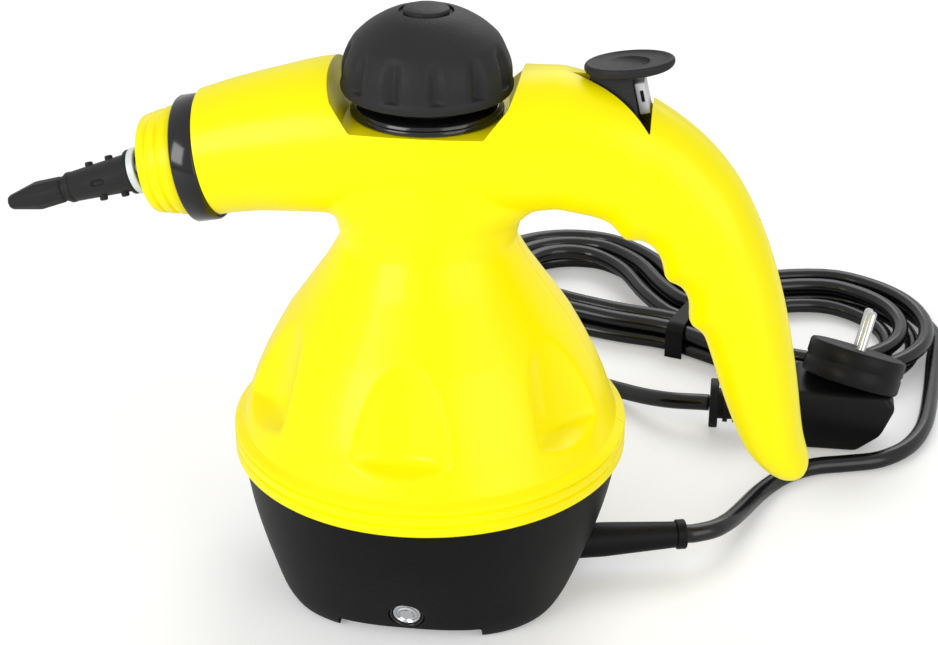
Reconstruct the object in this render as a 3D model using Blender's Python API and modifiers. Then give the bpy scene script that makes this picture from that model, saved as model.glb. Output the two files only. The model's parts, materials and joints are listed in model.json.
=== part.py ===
"""Handheld steam cleaner with its mains cord, modelled as separate pieces.

Metres, +Z up.  The base's axis is the working frame: the spout points to -X, the handle
to +X and the indicator lamp to -Y.  A root empty moves the whole cleaner along X, so that
the origin lies under the middle of its length, on the surface that it stands on.
"""
import math

import bmesh
import bpy
from mathutils import Vector

# Driving dimensions of the housing
BODY_RADIUS = 0.0685
BODY_BOTTOM = 0.052
BAR_HEIGHT = 0.1653
BAR_HALF_HEIGHT = 0.0255
NECK_HALF_DEPTH = 0.0272
BODY_WALL = 0.003
BAR_WALL = 0.0026
SEAM = 0.0003
OVERRUN = 0.02
FLAT_ANGLE = math.radians(1.2)
BODY_STEPS = 36
RING_STEPS = 24
INNER_STEPS = 18
SMALL_STEPS = 14
SCREW_STEPS = 8
BAR_SIDES = 18
CAVITY_SIDES = 12

# Ribbed lower rim of the housing
RIM_GROOVE_DEPTH = 0.0009
RIM_GROOVE_WIDTH = 0.0014
RIM_GROOVE_LOW = 0.0042
RIM_GROOVE_HIGH = 0.0083

# Six arched scoops round the body
SCOOP_COUNT = 6
SCOOP_RADIUS = 0.025
SCOOP_FLOOR_HEIGHT = 0.078
SCOOP_DEPTH_RADIUS = 0.053
SCOOP_HEIGHT = 0.040
SCOOP_LEAN = math.radians(12.6)
SCOOP_LEDGE_DROP = 0.014
SCOOP_WALL = 0.0025

# Spout
SPOUT_REACH = 0.0845
SPOUT_HEIGHT = 0.1517
SPOUT_TILT = math.radians(17.5)
SPOUT_SEAT_RADIUS = 0.0189
SPOUT_SEAT_LENGTH = 0.0089
SPOUT_STEP_RADIUS = 0.0210
SPIGOT_RADIUS = 0.0136
SPIGOT_LENGTH = 0.008
BAND_THICKNESS = 0.0021
BAND_ROUNDING = 0.0006
COLLAR_LENGTH = 0.0131
COLLAR_FRONT_RADIUS = 0.0166
COLLAR_WALL = 0.0026
COLLAR_RIDGE = 0.0008

# Steam outlet and nozzle, measured along the spout's axis
OUTLET_RADIUS = 0.0071
OUTLET_BORE = 0.0022
OUTLET_FLANGE_RADIUS = 0.0100
OUTLET_FLANGE_THICKNESS = 0.003
OUTLET_STUB_LENGTH = 0.0032
OUTLET_TIP_RADIUS = 0.0050
OUTLET_TIP_LENGTH = 0.0134
SEAL_RADIUS = 0.0080
SEAL_THICKNESS = 0.003
NOZZLE_BODY_LENGTH = 0.0257
NOZZLE_RADIUS = 0.0063
NOZZLE_BORE = 0.0018
NOZZLE_FLANGE_RADIUS = 0.0084
NOZZLE_FLANGE_LENGTH = 0.0026
NOZZLE_RIB_RADIUS = 0.0076
NOZZLE_NECK_RADIUS = 0.0046
NOZZLE_NECK_LENGTH = 0.002
LUG_COUNT = 4
LUG_LENGTH = 0.006
LUG_WIDTH = 0.004
LUG_RADIUS = 0.0082
LUG_START = 0.0095
TIP_LENGTH = 0.0235
TIP_RADIUS = 0.0056
TIP_END_RADIUS = 0.0036
TIP_BORE = 0.0012

# Handle
HANDLE_REACH = 0.1326
HANDLE_DEPTH = 0.0225
GRIP_RIDGE = 0.004
GRIP_RIDGE_SPREAD = 0.0042

# Saddle that the filler cap sits in
SADDLE_RADIUS = 0.0275
SADDLE_TOP_RADIUS = 0.0315
SADDLE_FLOOR = 0.1715
SADDLE_DEPTH = 0.0205
SADDLE_WALL_RADIUS = 0.034

# Filler cap
CAP_RADIUS = 0.0287
CAP_LIP_HEIGHT = 0.1815
CAP_HEIGHT = 0.027
CAP_WALL = 0.0024
CAP_SKIRT_INNER = 0.0232
CAP_FLUTES = 12
CAP_FLUTE_SIDES = 4
CAP_FLUTE_DEPTH = 0.0009
CAP_PRESS = 0.003
BADGE_RADIUS = 0.0075
BADGE_THICKNESS = 0.0016
BADGE_GROOVE = 0.0015
COLLAR_RING_RADIUS = 0.0246
COLLAR_RING_HEIGHT = 0.0057
COLLAR_RING_BORE = 0.0162
COLLAR_RING_FLANGE = 0.0253
COLLAR_RING_FLANGE_HEIGHT = 0.0012
STOPPER_FLANGE_RADIUS = 0.0229
STOPPER_FLANGE_HEIGHT = 0.0028
STOPPER_HUB_RADIUS = 0.006
STOPPER_HUB_HEIGHT = 0.0135
STOPPER_PLUG_LENGTH = 0.0275
CAP_SPRING_RADIUS = 0.009
CAP_SPRING_WIRE = 0.0006
CAP_SPRING_TURNS = 4
CAP_SEAL_THICKNESS = 0.002
CAP_SEAL_RADIUS = 0.015
CAP_WASHER_THICKNESS = 0.0008
RELIEF_BORE = 0.004
RELIEF_ORIFICE = 0.002
RELIEF_LIFT = 0.0015
RELIEF_SPRING_RADIUS = 0.0026
RELIEF_SPRING_WIRE = 0.0004
RELIEF_SPRING_TURNS = 5

# Base
BASE_RADIUS = 0.066
BASE_HEIGHT = 0.0517
BASE_WALL = 0.0028
BASE_FLOOR = 0.0085
BASE_TONGUE = 0.0053
FOOT_GAP = 0.050
FOOT_HEIGHT = 0.005
POST_RADIUS = 0.004
POST_CIRCLE = 0.0465
POST_TOP = 0.026

# Boiler
BOILER_RADIUS = 0.042
BOILER_WALL = 0.003
BOILER_BOTTOM = 0.033
BOILER_FLANGE_RADIUS = 0.051
BOILER_FLANGE_HEIGHT = 0.060
BOILER_FLANGE_THICKNESS = 0.004
BOILER_SHOULDER = 0.088
BOILER_DOME_HEIGHT = 0.026
NECK_RADIUS = 0.0155
NECK_BORE = 0.011
NECK_TOP = 0.176
GASKET_THICKNESS = 0.0015
BRACKET_THICKNESS = 0.0015
BRACKET_INNER_RADIUS = 0.033
BOILER_FOOT_CIRCLE = 0.038
BOILER_FOOT_RADIUS = 0.0035
BOLT_CIRCLE = 0.0465
BOLT_COUNT = 4
BOLT_RADIUS = 0.0018
BOLT_HEAD_RADIUS = 0.0034
BOLT_HEAD_HEIGHT = 0.0025
HEATER_RADIUS = 0.027
HEATER_TUBE = 0.003
THERMOSTAT_RADIUS = 0.008
THERMOSTAT_HEIGHT = 0.004
FUSE_RADIUS = 0.0022
FUSE_LENGTH = 0.012
PORT_RADIUS = 0.004
PORT_X = 0.028
PORT_TOP = 0.1135
PORT_HEIGHT = 0.0085
DOME_STEPS = 4
HEATER_SIDES = 8
TERMINAL_SIZE = (0.020, 0.010, 0.008)
TERMINAL_WAYS = 3
CLAMP_SIZE = (0.008, 0.016, 0.010)

# Trigger, its lock and the steam valve
PIVOT_X = 0.053
PIVOT_Z = 0.173
PIVOT_PIN_RADIUS = 0.0014
PIVOT_PIN_LENGTH = 0.026
PIVOT_BOSS_RADIUS = 0.004
PIVOT_HUB_LENGTH = 0.010
SLOT_FRONT = 0.0475
SLOT_REAR = 0.073
SLOT_HALF_WIDTH = 0.010
PAD_LENGTH = 0.029
PAD_WIDTH = 0.021
PAD_X = 0.0655
PAD_SIDES = 20
PAD_Z = 0.192
PAD_THICKNESS = 0.0045
PAD_DISH = 0.0014
PAD_TILT = math.radians(4)
STEM_BOTTOM = 0.168
STEM_HALF_WIDTH = 0.0075
LOCK_WIDTH = 0.009
LOCK_LENGTH = 0.0105
LOCK_THICKNESS = 0.0016
VALVE_X = 0.066
VALVE_RADIUS = 0.007
VALVE_BOTTOM = 0.145
VALVE_HEIGHT = 0.013
PLUNGER_RADIUS = 0.0028
PLUNGER_HEAD_RADIUS = 0.005
PLUNGER_HEAD_THICKNESS = 0.0018
VALVE_SPRING_RADIUS = 0.0042
VALVE_SPRING_WIRE = 0.0005
VALVE_SPRING_TURNS = 4
SHELF_HALF_LENGTH = 0.010
VALVE_TRAVEL = 0.0024
PIPE_RADIUS = 0.002
STEAM_PIPE_ROUTE = (
    (0.0280, 0.0, 0.1165), (0.0260, 0.0, 0.1215), (0.0218, 0.0, 0.1300), (0.0202, 0.0, 0.1385),
    (0.0217, 0.0, 0.1475), (0.0300, 0.0, 0.1525), (0.0420, 0.0, 0.1518), (0.0520, 0.0, 0.1515),
)
OUTLET_PIPE_ROUTE = (
    (0.0650, 0.0110, 0.1518), (0.0590, 0.0122, 0.1530), (0.0470, 0.0130, 0.1545),
    (0.0300, 0.0175, 0.1560), (0.0120, 0.0195, 0.1570), (-0.0080, 0.0195, 0.1570),
    (-0.0280, 0.0150, 0.1575), (-0.0470, 0.0060, 0.1580), (-0.0600, 0.0010, 0.1575),
)

# Indicator lamp
LENS_RADIUS = 0.0060
LENS_THICKNESS = 0.0036
LENS_HEIGHT = 0.012
LENS_FACE_Y = 0.0545
LENS_TILT = math.radians(13.5)
LAMP_RADIUS = 0.0040
LAMP_LENGTH = 0.010

# Mains cord, its boot and its plug
CORD_DIAMETER = 0.0068
BOOT_HEIGHT = 0.0127
BOOT_YAW = math.radians(15)
BOOT_CROSSING = 0.059
BOOT_INSIDE = 0.0135
BOOT_OUTSIDE = 0.0335
BOOT_RADIUS = 0.0062
BOOT_END_RADIUS = 0.0047
BOOT_RING_RADIUS = 0.0054
BOOT_RING_LENGTH = 0.0035
CORD_HEIGHT = 0.00345
LEAD_ROUTE = (
    (0.1040, 0.0159, 0.0120), (0.1083, 0.0235, 0.0107), (0.1105, 0.0325, 0.0088),
    (0.1113, 0.0430, 0.0067), (0.1124, 0.0550, 0.0047), (0.1152, 0.0670, 0.0036),
    (0.1215, 0.0768, CORD_HEIGHT), (0.1330, 0.0832, CORD_HEIGHT), (0.1490, 0.0855, CORD_HEIGHT),
    (0.1670, 0.0868, CORD_HEIGHT), (0.1798, 0.0990, CORD_HEIGHT), (0.1862, 0.1190, CORD_HEIGHT),
    (0.1900, 0.1490, CORD_HEIGHT), (0.1930, 0.1780, CORD_HEIGHT),
)
TAIL_ROUTE = (
    (-0.0130, 0.2360, 0.0102), (-0.0170, 0.2130, 0.0084), (-0.0130, 0.1880, 0.0060),
    (-0.0010, 0.1660, 0.0042), (0.0180, 0.1500, CORD_HEIGHT), (0.0380, 0.1400, 0.0037),
    (0.0580, 0.1290, 0.0050), (0.0700, 0.1195, 0.0078), (0.0815, 0.1125, 0.0105),
)
CORD_POINT_SPACING = 0.012
HANK_LOOPS = 4.5
HANK_LAYER_GAP = 0.0005
HANK_WAIST = (0.086, 0.192)
HANK_WAIST_HEADING = math.radians(-16.6)
HANK_BEND = math.radians(48.3)
HANK_BEND_LENGTH = 0.070
HANK_WAIST_HALF_WIDTH = 0.0024
HANK_LEFT_RUN = 0.068
HANK_LEFT_FOLD_RADIUS = 0.0215
HANK_RIGHT_RUN = 0.055
HANK_RIGHT_FOLD_RADIUS = 0.0290
HANK_LEFT_STEP = 0.0084
HANK_WAIST_STEP = 0.0088
HANK_RIGHT_STEP = 0.0110
HANK_POINTS_PER_LOOP = 24
HANK_FOLD_POINTS = 7
HANK_CLIMB = 0.5
TIE_CORNER_STEPS = 4
PLUG_CABLE_LENGTH = 0.033
PLUG_RIBS_SHARE = 0.36
TIE_WIDTH = 0.006
TIE_THICKNESS = 0.0009
TIE_CLEARANCE = 0.0006
TIE_BEND_RADIUS = 0.005
PLUG_CENTER = (0.153, 0.110, 0.033)
PLUG_LEAN = math.radians(22)
PLUG_FACE_RADIUS = 0.0195
PLUG_FACE_THICKNESS = 0.014
PLUG_ROUNDING = 0.0015
PLUG_BLOCK_LENGTH = 0.042
PLUG_BLOCK_DEPTH = 0.030
PLUG_BLOCK_HEIGHT = 0.024
PLUG_CABLE_HEIGHT = 0.012
PIN_RADIUS = 0.0024
PIN_LENGTH = 0.019
PIN_SPACING = 0.019
PLUG_BOOT_START = 0.097
PLUG_BOOT_FLANGE = 0.0035
PLUG_BOOT_FLANGE_RADIUS = 0.010
PLUG_BOOT_RADIUS = 0.0062
PLUG_BOOT_RIBS = 3
PLUG_BOOT_RIB_HEIGHT = 0.0012
EARTH_CLIP_WIDTH = 0.005
EARTH_CLIP_DEPTH = 0.0015

# Screws
SCREW_RADIUS = 0.0015
SCREW_HEAD_RADIUS = 0.0029
SCREW_HEAD_HEIGHT = 0.002
SCREW_CLEARANCE = 0.0004
SCREW_RECESS = 0.004

# Outlines, as shares of the sizes that they follow
BELL_SHARES = (
    (0.106, 0.956), (0.159, 0.923), (0.212, 0.893), (0.283, 0.845), (0.354, 0.785),
    (0.425, 0.720), (0.513, 0.616), (0.602, 0.514), (0.690, 0.431), (0.760, 0.404),
)
BASE_SHARES = (
    (1.000, 1.000, 2.00), (0.851, 0.988, 2.00), (0.658, 0.955, 2.10), (0.464, 0.906, 2.25),
    (0.271, 0.848, 2.45), (0.101, 0.791, 2.70), (0.000, 0.745, 2.80),
)
BAR_EXPONENT = 2.2
BAR_SHARES = ((0.000, 1.000), (0.211, 0.940))
SPOUT_SHARES = (
    (0.710, 0.961, 13, 0.890), (0.533, 0.978, 10, 0.957), (0.331, 0.992, 7, 1.020),
)
HANDLE_OUTER_SHARES = (
    (0.332, 1.149), (0.498, 1.116), (0.649, 1.045), (0.762, 0.953), (0.845, 0.829),
    (0.905, 0.684), (0.946, 0.532), (0.977, 0.387), (1.000, 0.318), (0.992, 0.284),
)
HANDLE_INNER_SHARES = (
    (0.332, 0.868), (0.452, 0.847), (0.554, 0.805), (0.626, 0.735), (0.683, 0.656),
    (0.728, 0.560), (0.769, 0.460), (0.826, 0.354), (0.882, 0.299), (0.928, 0.275),
)
HANDLE_DEPTH_SHARES = (1.0, 0.889, 0.809, 0.764, 0.747, 0.729, 0.693, 0.604, 0.444, 0.267)
GRIP_RIDGE_SHARES = ((0.505, 0.827), (0.618, 0.744), (0.685, 0.647))
CAP_SKIRT_SHARES = (
    (0.940, 0.000, 0.0), (1.000, 0.080, 0.0), (0.985, 0.200, 0.0), (0.965, 0.260, 1.0),
    (0.935, 0.370, 1.0), (0.880, 0.500, 0.8), (0.805, 0.640, 0.2), (0.650, 0.805, 0.0),
    (0.450, 0.930, 0.0), (0.250, 0.990, 0.0),
)
CAP_CAVITY_SHARES = ((1.000, 0.000), (1.000, 0.450), (0.800, 0.750), (0.450, 1.000))
COLLAR_RIDGE_SHARES = (0.72, 0.40)
NOZZLE_RIB_SHARES = (0.76, 0.66)
TIP_FACETS = 8
TIP_SHARES = (
    (0.00, 0.86), (0.05, 1.00), (0.28, 1.00), (0.34, 0.93), (0.90, 0.66), (1.00, 0.58),
)
PAD_SHARES = (
    (0.70, -0.60), (0.93, -0.30), (1.00, 0.10), (0.97, 0.55), (0.88, 0.55), (0.70, 0.25), (0.30, 0.15),
)
STEM_SHARES = (
    (1.00, 0.10, 0.52, 0.20, 0.83), (0.35, 0.10, 0.64, 0.20, 0.96), (0.00, 0.25, 0.71, 0.20, 0.80),
)
LOCK_PLACE_SHARE = 0.61
LENS_FACE_SHARE = 0.85


def clear_scene():
    for item in list(bpy.data.objects):
        bpy.data.objects.remove(item, do_unlink=True)


def new_collection(name):
    collection = bpy.data.collections.new(name)
    bpy.context.scene.collection.children.link(collection)
    return collection


clear_scene()
PARTS = new_collection("handheld_steam_cleaner")
CUTTERS = new_collection("cutters")


def add_empty(name, location=(0, 0, 0), tilt=0, parent=None):
    empty = bpy.data.objects.new(name, None)
    PARTS.objects.link(empty)
    empty.location = location
    empty.rotation_euler = (0, tilt, 0)
    empty.parent = parent
    return empty


NOZZLE_REACH = SPOUT_REACH + math.cos(SPOUT_TILT) * (
    COLLAR_LENGTH + OUTLET_STUB_LENGTH + SEAL_THICKNESS + 3 * SEAM + NOZZLE_BODY_LENGTH + TIP_LENGTH)
ROOT = add_empty("steam_cleaner", ((NOZZLE_REACH - HANDLE_REACH) / 2, 0, 0))
SPOUT_AXIS = add_empty(
    "spout_axis", (-SPOUT_REACH, 0, SPOUT_HEIGHT), -(math.pi / 2 + SPOUT_TILT), ROOT)

FINISHES = {
    "yellow_plastic": ((1.0, 0.80, 0.0), 0.28, 0.0),
    "satin_black": ((0.028, 0.028, 0.030), 0.42, 0.0),
    "matt_black": ((0.020, 0.020, 0.022), 0.60, 0.0),
    "gloss_black": ((0.012, 0.012, 0.014), 0.12, 0.0),
    "cord_black": ((0.010, 0.010, 0.011), 0.35, 0.0),
    "white_seal": ((0.80, 0.82, 0.84), 0.45, 0.0),
    "grey_plastic": ((0.62, 0.63, 0.65), 0.40, 0.0),
    "aluminium": ((0.80, 0.81, 0.82), 0.35, 1.0),
    "steel": ((0.62, 0.63, 0.65), 0.28, 1.0),
    "brass": ((0.75, 0.58, 0.25), 0.32, 1.0),
    "red_rubber": ((0.45, 0.08, 0.05), 0.60, 0.0),
    "clear_lens": ((0.72, 0.74, 0.76), 0.10, 0.3),
}


def give_material(item, finish):
    """Give a piece its own material, named after it."""
    color, roughness, metallic = FINISHES[finish]
    material = bpy.data.materials.new(item.name + "_" + finish)
    material.use_nodes = True
    shader = material.node_tree.nodes["Principled BSDF"]
    shader.inputs["Base Color"].default_value = (*color, 1)
    shader.inputs["Roughness"].default_value = roughness
    shader.inputs["Metallic"].default_value = metallic
    material.diffuse_color = (*color, 1)
    item.data.materials.clear()
    item.data.materials.append(material)


def add_object(name, mesh, finish=None, location=(0, 0, 0), axis=(0, 0, 1), parent=ROOT):
    """Add a mesh as a piece, or as a cutter when it has no finish.  Its +Z is turned to axis."""
    item = bpy.data.objects.new(name, mesh)
    item.location = location
    item.rotation_euler = Vector((0, 0, 1)).rotation_difference(Vector(axis)).to_euler()
    item.parent = parent
    if finish:
        PARTS.objects.link(item)
        give_material(item, finish)
    else:
        CUTTERS.objects.link(item)
        item.hide_render = True
        item.display_type = "WIRE"
    return item


def mesh_from(name, bm, smooth_angle=math.radians(35)):
    mesh = bpy.data.meshes.new(name)
    bm.to_mesh(mesh)
    bm.free()
    mesh.shade_smooth()
    mesh.set_sharp_from_angle(angle=smooth_angle)
    return mesh


def skin(name, rings):
    """Join a row of rings with equal point counts into one closed skin."""
    bm = bmesh.new()
    loops = [[bm.verts.new(point) for point in ring] for ring in rings]
    for first, second in zip(loops, loops[1:]):
        for i, corner in enumerate(first):
            j = (i + 1) % len(first)
            bm.faces.new((corner, first[j], second[j], second[i]))
    bm.faces.new(reversed(loops[0]))
    bm.faces.new(loops[-1])
    bmesh.ops.recalc_face_normals(bm, faces=bm.faces)
    return mesh_from(name, bm)


def turned(name, profile, finish=None, location=(0, 0, 0), axis=(0, 0, 1), parent=ROOT,
           steps=24, closed=True):
    """Turn a profile of (radius, height) points, which runs down its outer side."""
    mesh = bpy.data.meshes.new(name)
    edges = [(i, i + 1) for i in range(len(profile) - 1)]
    if closed:
        edges.append((len(profile) - 1, 0))
    mesh.from_pydata([(radius, 0, height) for radius, height in profile], edges, [])
    item = add_object(name, mesh, finish, location, axis, parent)
    screw = item.modifiers.new("turn", "SCREW")
    screw.steps = steps
    screw.render_steps = steps
    screw.use_merge_vertices = True
    screw.merge_threshold = 0.00001
    return item


def cylinder(name, radius, length, finish=None, location=(0, 0, 0), axis=(0, 0, 1), parent=ROOT,
             sides=20):
    """A cylinder from its location along its axis."""
    bm = bmesh.new()
    bmesh.ops.create_cone(bm, cap_ends=True, segments=sides, radius1=radius, radius2=radius,
                          depth=length)
    bmesh.ops.translate(bm, verts=bm.verts, vec=(0, 0, length / 2))
    return add_object(name, mesh_from(name, bm), finish, location, axis, parent)


def box(name, size, finish=None, location=(0, 0, 0), axis=(0, 0, 1), parent=ROOT):
    bm = bmesh.new()
    bmesh.ops.create_cube(bm, size=1)
    bmesh.ops.scale(bm, verts=bm.verts, vec=size)
    return add_object(name, mesh_from(name, bm), finish, location, axis, parent)


def combine(item, tool, operation="DIFFERENCE"):
    modifier = item.modifiers.new(operation.lower() + "_" + tool.name, "BOOLEAN")
    modifier.operation = operation
    modifier.object = tool
    return item


def settled_mesh(item):
    """The shape of an object with its modifiers, with the slivers that cuts leave welded away."""
    evaluated = item.evaluated_get(bpy.context.evaluated_depsgraph_get())
    mesh = bpy.data.meshes.new_from_object(evaluated)
    bm = bmesh.new()
    bm.from_mesh(mesh)
    bmesh.ops.remove_doubles(bm, verts=bm.verts, dist=SEAM / 30)
    bmesh.ops.dissolve_limit(bm, angle_limit=FLAT_ANGLE, verts=bm.verts, edges=bm.edges)
    bmesh.ops.triangulate(bm, faces=bm.faces)
    bpy.data.meshes.remove(mesh)
    return mesh_from(item.name, bm)


def round_edges(item, width, segments=2, angle=math.radians(40)):
    bevel = item.modifiers.new("round_edges", "BEVEL")
    bevel.width = width
    bevel.segments = segments
    bevel.limit_method = "ANGLE"
    bevel.angle_limit = angle
    return item


def spline_points(knots, count_between):
    """Points of a smooth curve through knots (Catmull-Rom), ends included."""
    knots = [Vector(knot) for knot in knots]
    padded = [2 * knots[0] - knots[1], *knots, 2 * knots[-1] - knots[-2]]
    points = []
    for a, b, c, d in zip(padded, padded[1:], padded[2:], padded[3:]):
        for step in range(count_between):
            t = step / count_between
            points.append(0.5 * (2 * b + (c - a) * t + (2 * a - 5 * b + 4 * c - d) * t ** 2
                                 + (3 * b - a - 3 * c + d) * t ** 3))
    return points + [knots[-1]]


def tube(name, points, radius, finish, resolution=2, parent=ROOT):
    """A round tube along points: a bevelled POLY curve, made a closed mesh."""
    curve = bpy.data.curves.new(name, "CURVE")
    curve.dimensions = "3D"
    curve.bevel_depth = radius
    curve.bevel_resolution = resolution
    curve.use_fill_caps = True
    spline = curve.splines.new("POLY")
    spline.points.add(len(points) - 1)
    for point, place in zip(spline.points, points):
        point.co = (*place, 1)
    source = bpy.data.objects.new(name + "_path", curve)
    PARTS.objects.link(source)
    evaluated = source.evaluated_get(bpy.context.evaluated_depsgraph_get())
    mesh = bpy.data.meshes.new_from_object(evaluated)
    bpy.data.objects.remove(source)
    bpy.data.curves.remove(curve)
    bm = bmesh.new()
    bm.from_mesh(mesh)
    bmesh.ops.remove_doubles(bm, verts=bm.verts, dist=radius / 100)
    bpy.data.meshes.remove(mesh)
    return add_object(name, mesh_from(name, bm), finish, parent=parent)


def coil_points(radius, bottom, top, turns, per_turn=8):
    """A helix round +Z from bottom to top."""
    count = turns * per_turn
    return [(radius * math.cos(math.tau * i / per_turn), radius * math.sin(math.tau * i / per_turn),
             bottom + (top - bottom) * i / count) for i in range(count + 1)]


def superellipse(half_x, half_y, exponent, count=BODY_STEPS):
    points = []
    for i in range(count):
        c, s = math.cos(math.tau * i / count), math.sin(math.tau * i / count)
        points.append((half_x * math.copysign(abs(c) ** (2 / exponent), c),
                       half_y * math.copysign(abs(s) ** (2 / exponent), s)))
    return points


def around(count, radius, first=0):
    """Places (x, y) evenly round a circle, with their angles."""
    for i in range(count):
        angle = first + math.tau * i / count
        yield radius * math.cos(angle), radius * math.sin(angle), angle


BOOT_AXIS = Vector((math.cos(BOOT_YAW), math.sin(BOOT_YAW), 0))
LENS_AXIS = Vector((0, -math.cos(LENS_TILT), -math.sin(LENS_TILT)))


def boot_point(reach):
    """A point on the cord boot's axis, measured from where it leaves the base."""
    return Vector((BOOT_CROSSING, 0, BOOT_HEIGHT)) + BOOT_AXIS * reach


def lens_point(reach):
    """A point on the indicator's axis, measured outwards from the lens's face."""
    return Vector((0, -LENS_FACE_Y, LENS_HEIGHT)) + LENS_AXIS * reach


def screw_hole(name, place, axis, length):
    """Cutter for a recessed screw: a wide part for the head, then the hole of its shank."""
    head = SCREW_HEAD_RADIUS + SCREW_CLEARANCE
    shank = SCREW_RADIUS + SCREW_CLEARANCE
    profile = [(0, length), (shank, length), (shank, SCREW_RECESS), (head, SCREW_RECESS),
               (head, -OVERRUN), (0, -OVERRUN)]
    return turned(name, profile, location=place, axis=axis, steps=SCREW_STEPS, closed=False)


def bar_section(middle, thick, half_thickness, half_depth, exponent, sides):
    """A ring across the bar: thick is the unit vector of its thickness in the XZ plane."""
    return [Vector((middle[0] + thick[0] * b, a, middle[1] + thick[1] * b))
            for a, b in superellipse(half_depth, half_thickness, exponent, sides)]


def spout_sections(front, wall=0, sides=BAR_SIDES):
    """Rings from the spout's front to the body.  front holds (reach, radius) past the seat."""
    out = Vector((-math.cos(SPOUT_TILT), -math.sin(SPOUT_TILT)))
    across = Vector((-math.sin(SPOUT_TILT), math.cos(SPOUT_TILT)))
    seat = Vector((-SPOUT_REACH, SPOUT_HEIGHT))
    rings = [bar_section(seat + out * reach, across, radius, radius, 2, sides)
             for reach, radius in front]
    for x_share, z_share, tilt, size_share in SPOUT_SHARES:
        angle = math.radians(tilt)
        place = (-SPOUT_REACH * x_share, BAR_HEIGHT * z_share)
        radius = BAR_HALF_HEIGHT * size_share - wall
        rings.append(bar_section(place, (-math.sin(angle), math.cos(angle)), radius, radius, 2, sides))
    for x_share, size_share in BAR_SHARES:
        rings.append(bar_section((HANDLE_REACH * x_share, BAR_HEIGHT), (0, 1),
                                 BAR_HALF_HEIGHT * size_share - wall,
                                 NECK_HALF_DEPTH * size_share - wall, BAR_EXPONENT, sides))
    return rings


def grip_bump(point):
    """Height of the finger ridges at a point of the handle's inner edge."""
    bump = 0
    for x_share, z_share in GRIP_RIDGE_SHARES:
        apart = math.hypot(point[0] - HANDLE_REACH * x_share, point[2] - BAR_HEIGHT * z_share)
        bump += GRIP_RIDGE * math.exp(-(apart / GRIP_RIDGE_SPREAD) ** 2)
    return bump


def handle_sections(wall=0, last=len(HANDLE_DEPTH_SHARES), between=3, sides=BAR_SIDES):
    """Rings of the handle from the body to its tip.  Only the outer skin has finger ridges."""
    outer = [(HANDLE_REACH * x, 0, BAR_HEIGHT * z) for x, z in HANDLE_OUTER_SHARES[:last]]
    inner = [(HANDLE_REACH * x, 0, BAR_HEIGHT * z) for x, z in HANDLE_INNER_SHARES[:last]]
    depth = [(HANDLE_DEPTH * share, 0, 0) for share in HANDLE_DEPTH_SHARES[:last]]
    rings = []
    for top, low, deep in zip(*(spline_points(row, between) for row in (outer, inner, depth))):
        across = (top - low).normalized()
        if not wall:
            low = low - across * grip_bump(low)
        half = (top - low).length / 2 - wall
        middle = (top + low) / 2
        rings.append(bar_section((middle.x, middle.z), (across.x, across.z), half, deep.x - wall,
                                 BAR_EXPONENT, sides))
    return rings


def bell_profile(wall=0):
    """The body's outline from its neck down to its rim, as (radius, height) points."""
    rise = BAR_HEIGHT - BODY_BOTTOM
    points = [(NECK_HALF_DEPTH - BODY_WALL - wall, BAR_HEIGHT - BODY_WALL)]
    points += [(BODY_RADIUS * r - wall, BODY_BOTTOM + rise * z) for z, r in reversed(BELL_SHARES)]
    return points


def make_body_core():
    """The bell and the bar as one solid, before it is hollowed."""
    groove = RIM_GROOVE_WIDTH / 2
    profile = [(0, BAR_HEIGHT - BODY_WALL)] + bell_profile()
    for rise in (RIM_GROOVE_HIGH, RIM_GROOVE_LOW):
        middle = BODY_BOTTOM + rise
        profile += [(BODY_RADIUS, middle + groove), (BODY_RADIUS - RIM_GROOVE_DEPTH, middle),
                    (BODY_RADIUS, middle - groove)]
    profile += [(BODY_RADIUS, BODY_BOTTOM), (0, BODY_BOTTOM)]
    core = turned("body_core", profile, steps=BODY_STEPS, closed=False)
    front = ((SPIGOT_LENGTH, SPIGOT_RADIUS), (0, SPIGOT_RADIUS), (0, SPOUT_SEAT_RADIUS),
             (-SPOUT_SEAT_LENGTH, SPOUT_SEAT_RADIUS), (-SPOUT_SEAT_LENGTH, SPOUT_STEP_RADIUS))
    bar = add_object("bar_skin", skin("bar_skin", spout_sections(front) + handle_sections()))
    return combine(core, bar, "UNION")


def scoop_cutter(index, angle, grow=0):
    """One arched scoop: a leaning cylinder on a cone that closes below its floor."""
    radius = SCOOP_RADIUS + grow
    drop = SCOOP_LEDGE_DROP + grow
    profile = [(0, SCOOP_HEIGHT), (radius, SCOOP_HEIGHT), (radius, -grow), (0, -drop)]
    reach = SCOOP_DEPTH_RADIUS + SCOOP_RADIUS
    place = (reach * math.cos(angle), reach * math.sin(angle), SCOOP_FLOOR_HEIGHT)
    lean = (-math.sin(SCOOP_LEAN) * math.cos(angle), -math.sin(SCOOP_LEAN) * math.sin(angle),
            math.cos(SCOOP_LEAN))
    name = "scoop_%d" % index if not grow else "scoop_wall_%d" % index
    return turned(name, profile, location=place, axis=lean, steps=CAVITY_SIDES if grow else SMALL_STEPS,
                  closed=False)


def saddle_cutter(name, grow=0):
    """The pocket round the filler cap: a cone open to the top."""
    rise = SADDLE_DEPTH
    if grow:
        return cylinder(name, SADDLE_WALL_RADIUS, rise + OVERRUN,
                        location=(0, 0, SADDLE_FLOOR - grow), sides=INNER_STEPS)
    profile = [(0, SADDLE_FLOOR + rise + OVERRUN), (SADDLE_TOP_RADIUS, SADDLE_FLOOR + rise + OVERRUN),
               (SADDLE_TOP_RADIUS, SADDLE_FLOOR + rise), (SADDLE_RADIUS, SADDLE_FLOOR),
               (0, SADDLE_FLOOR)]
    return turned(name, profile, steps=BODY_STEPS, closed=False)


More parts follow.
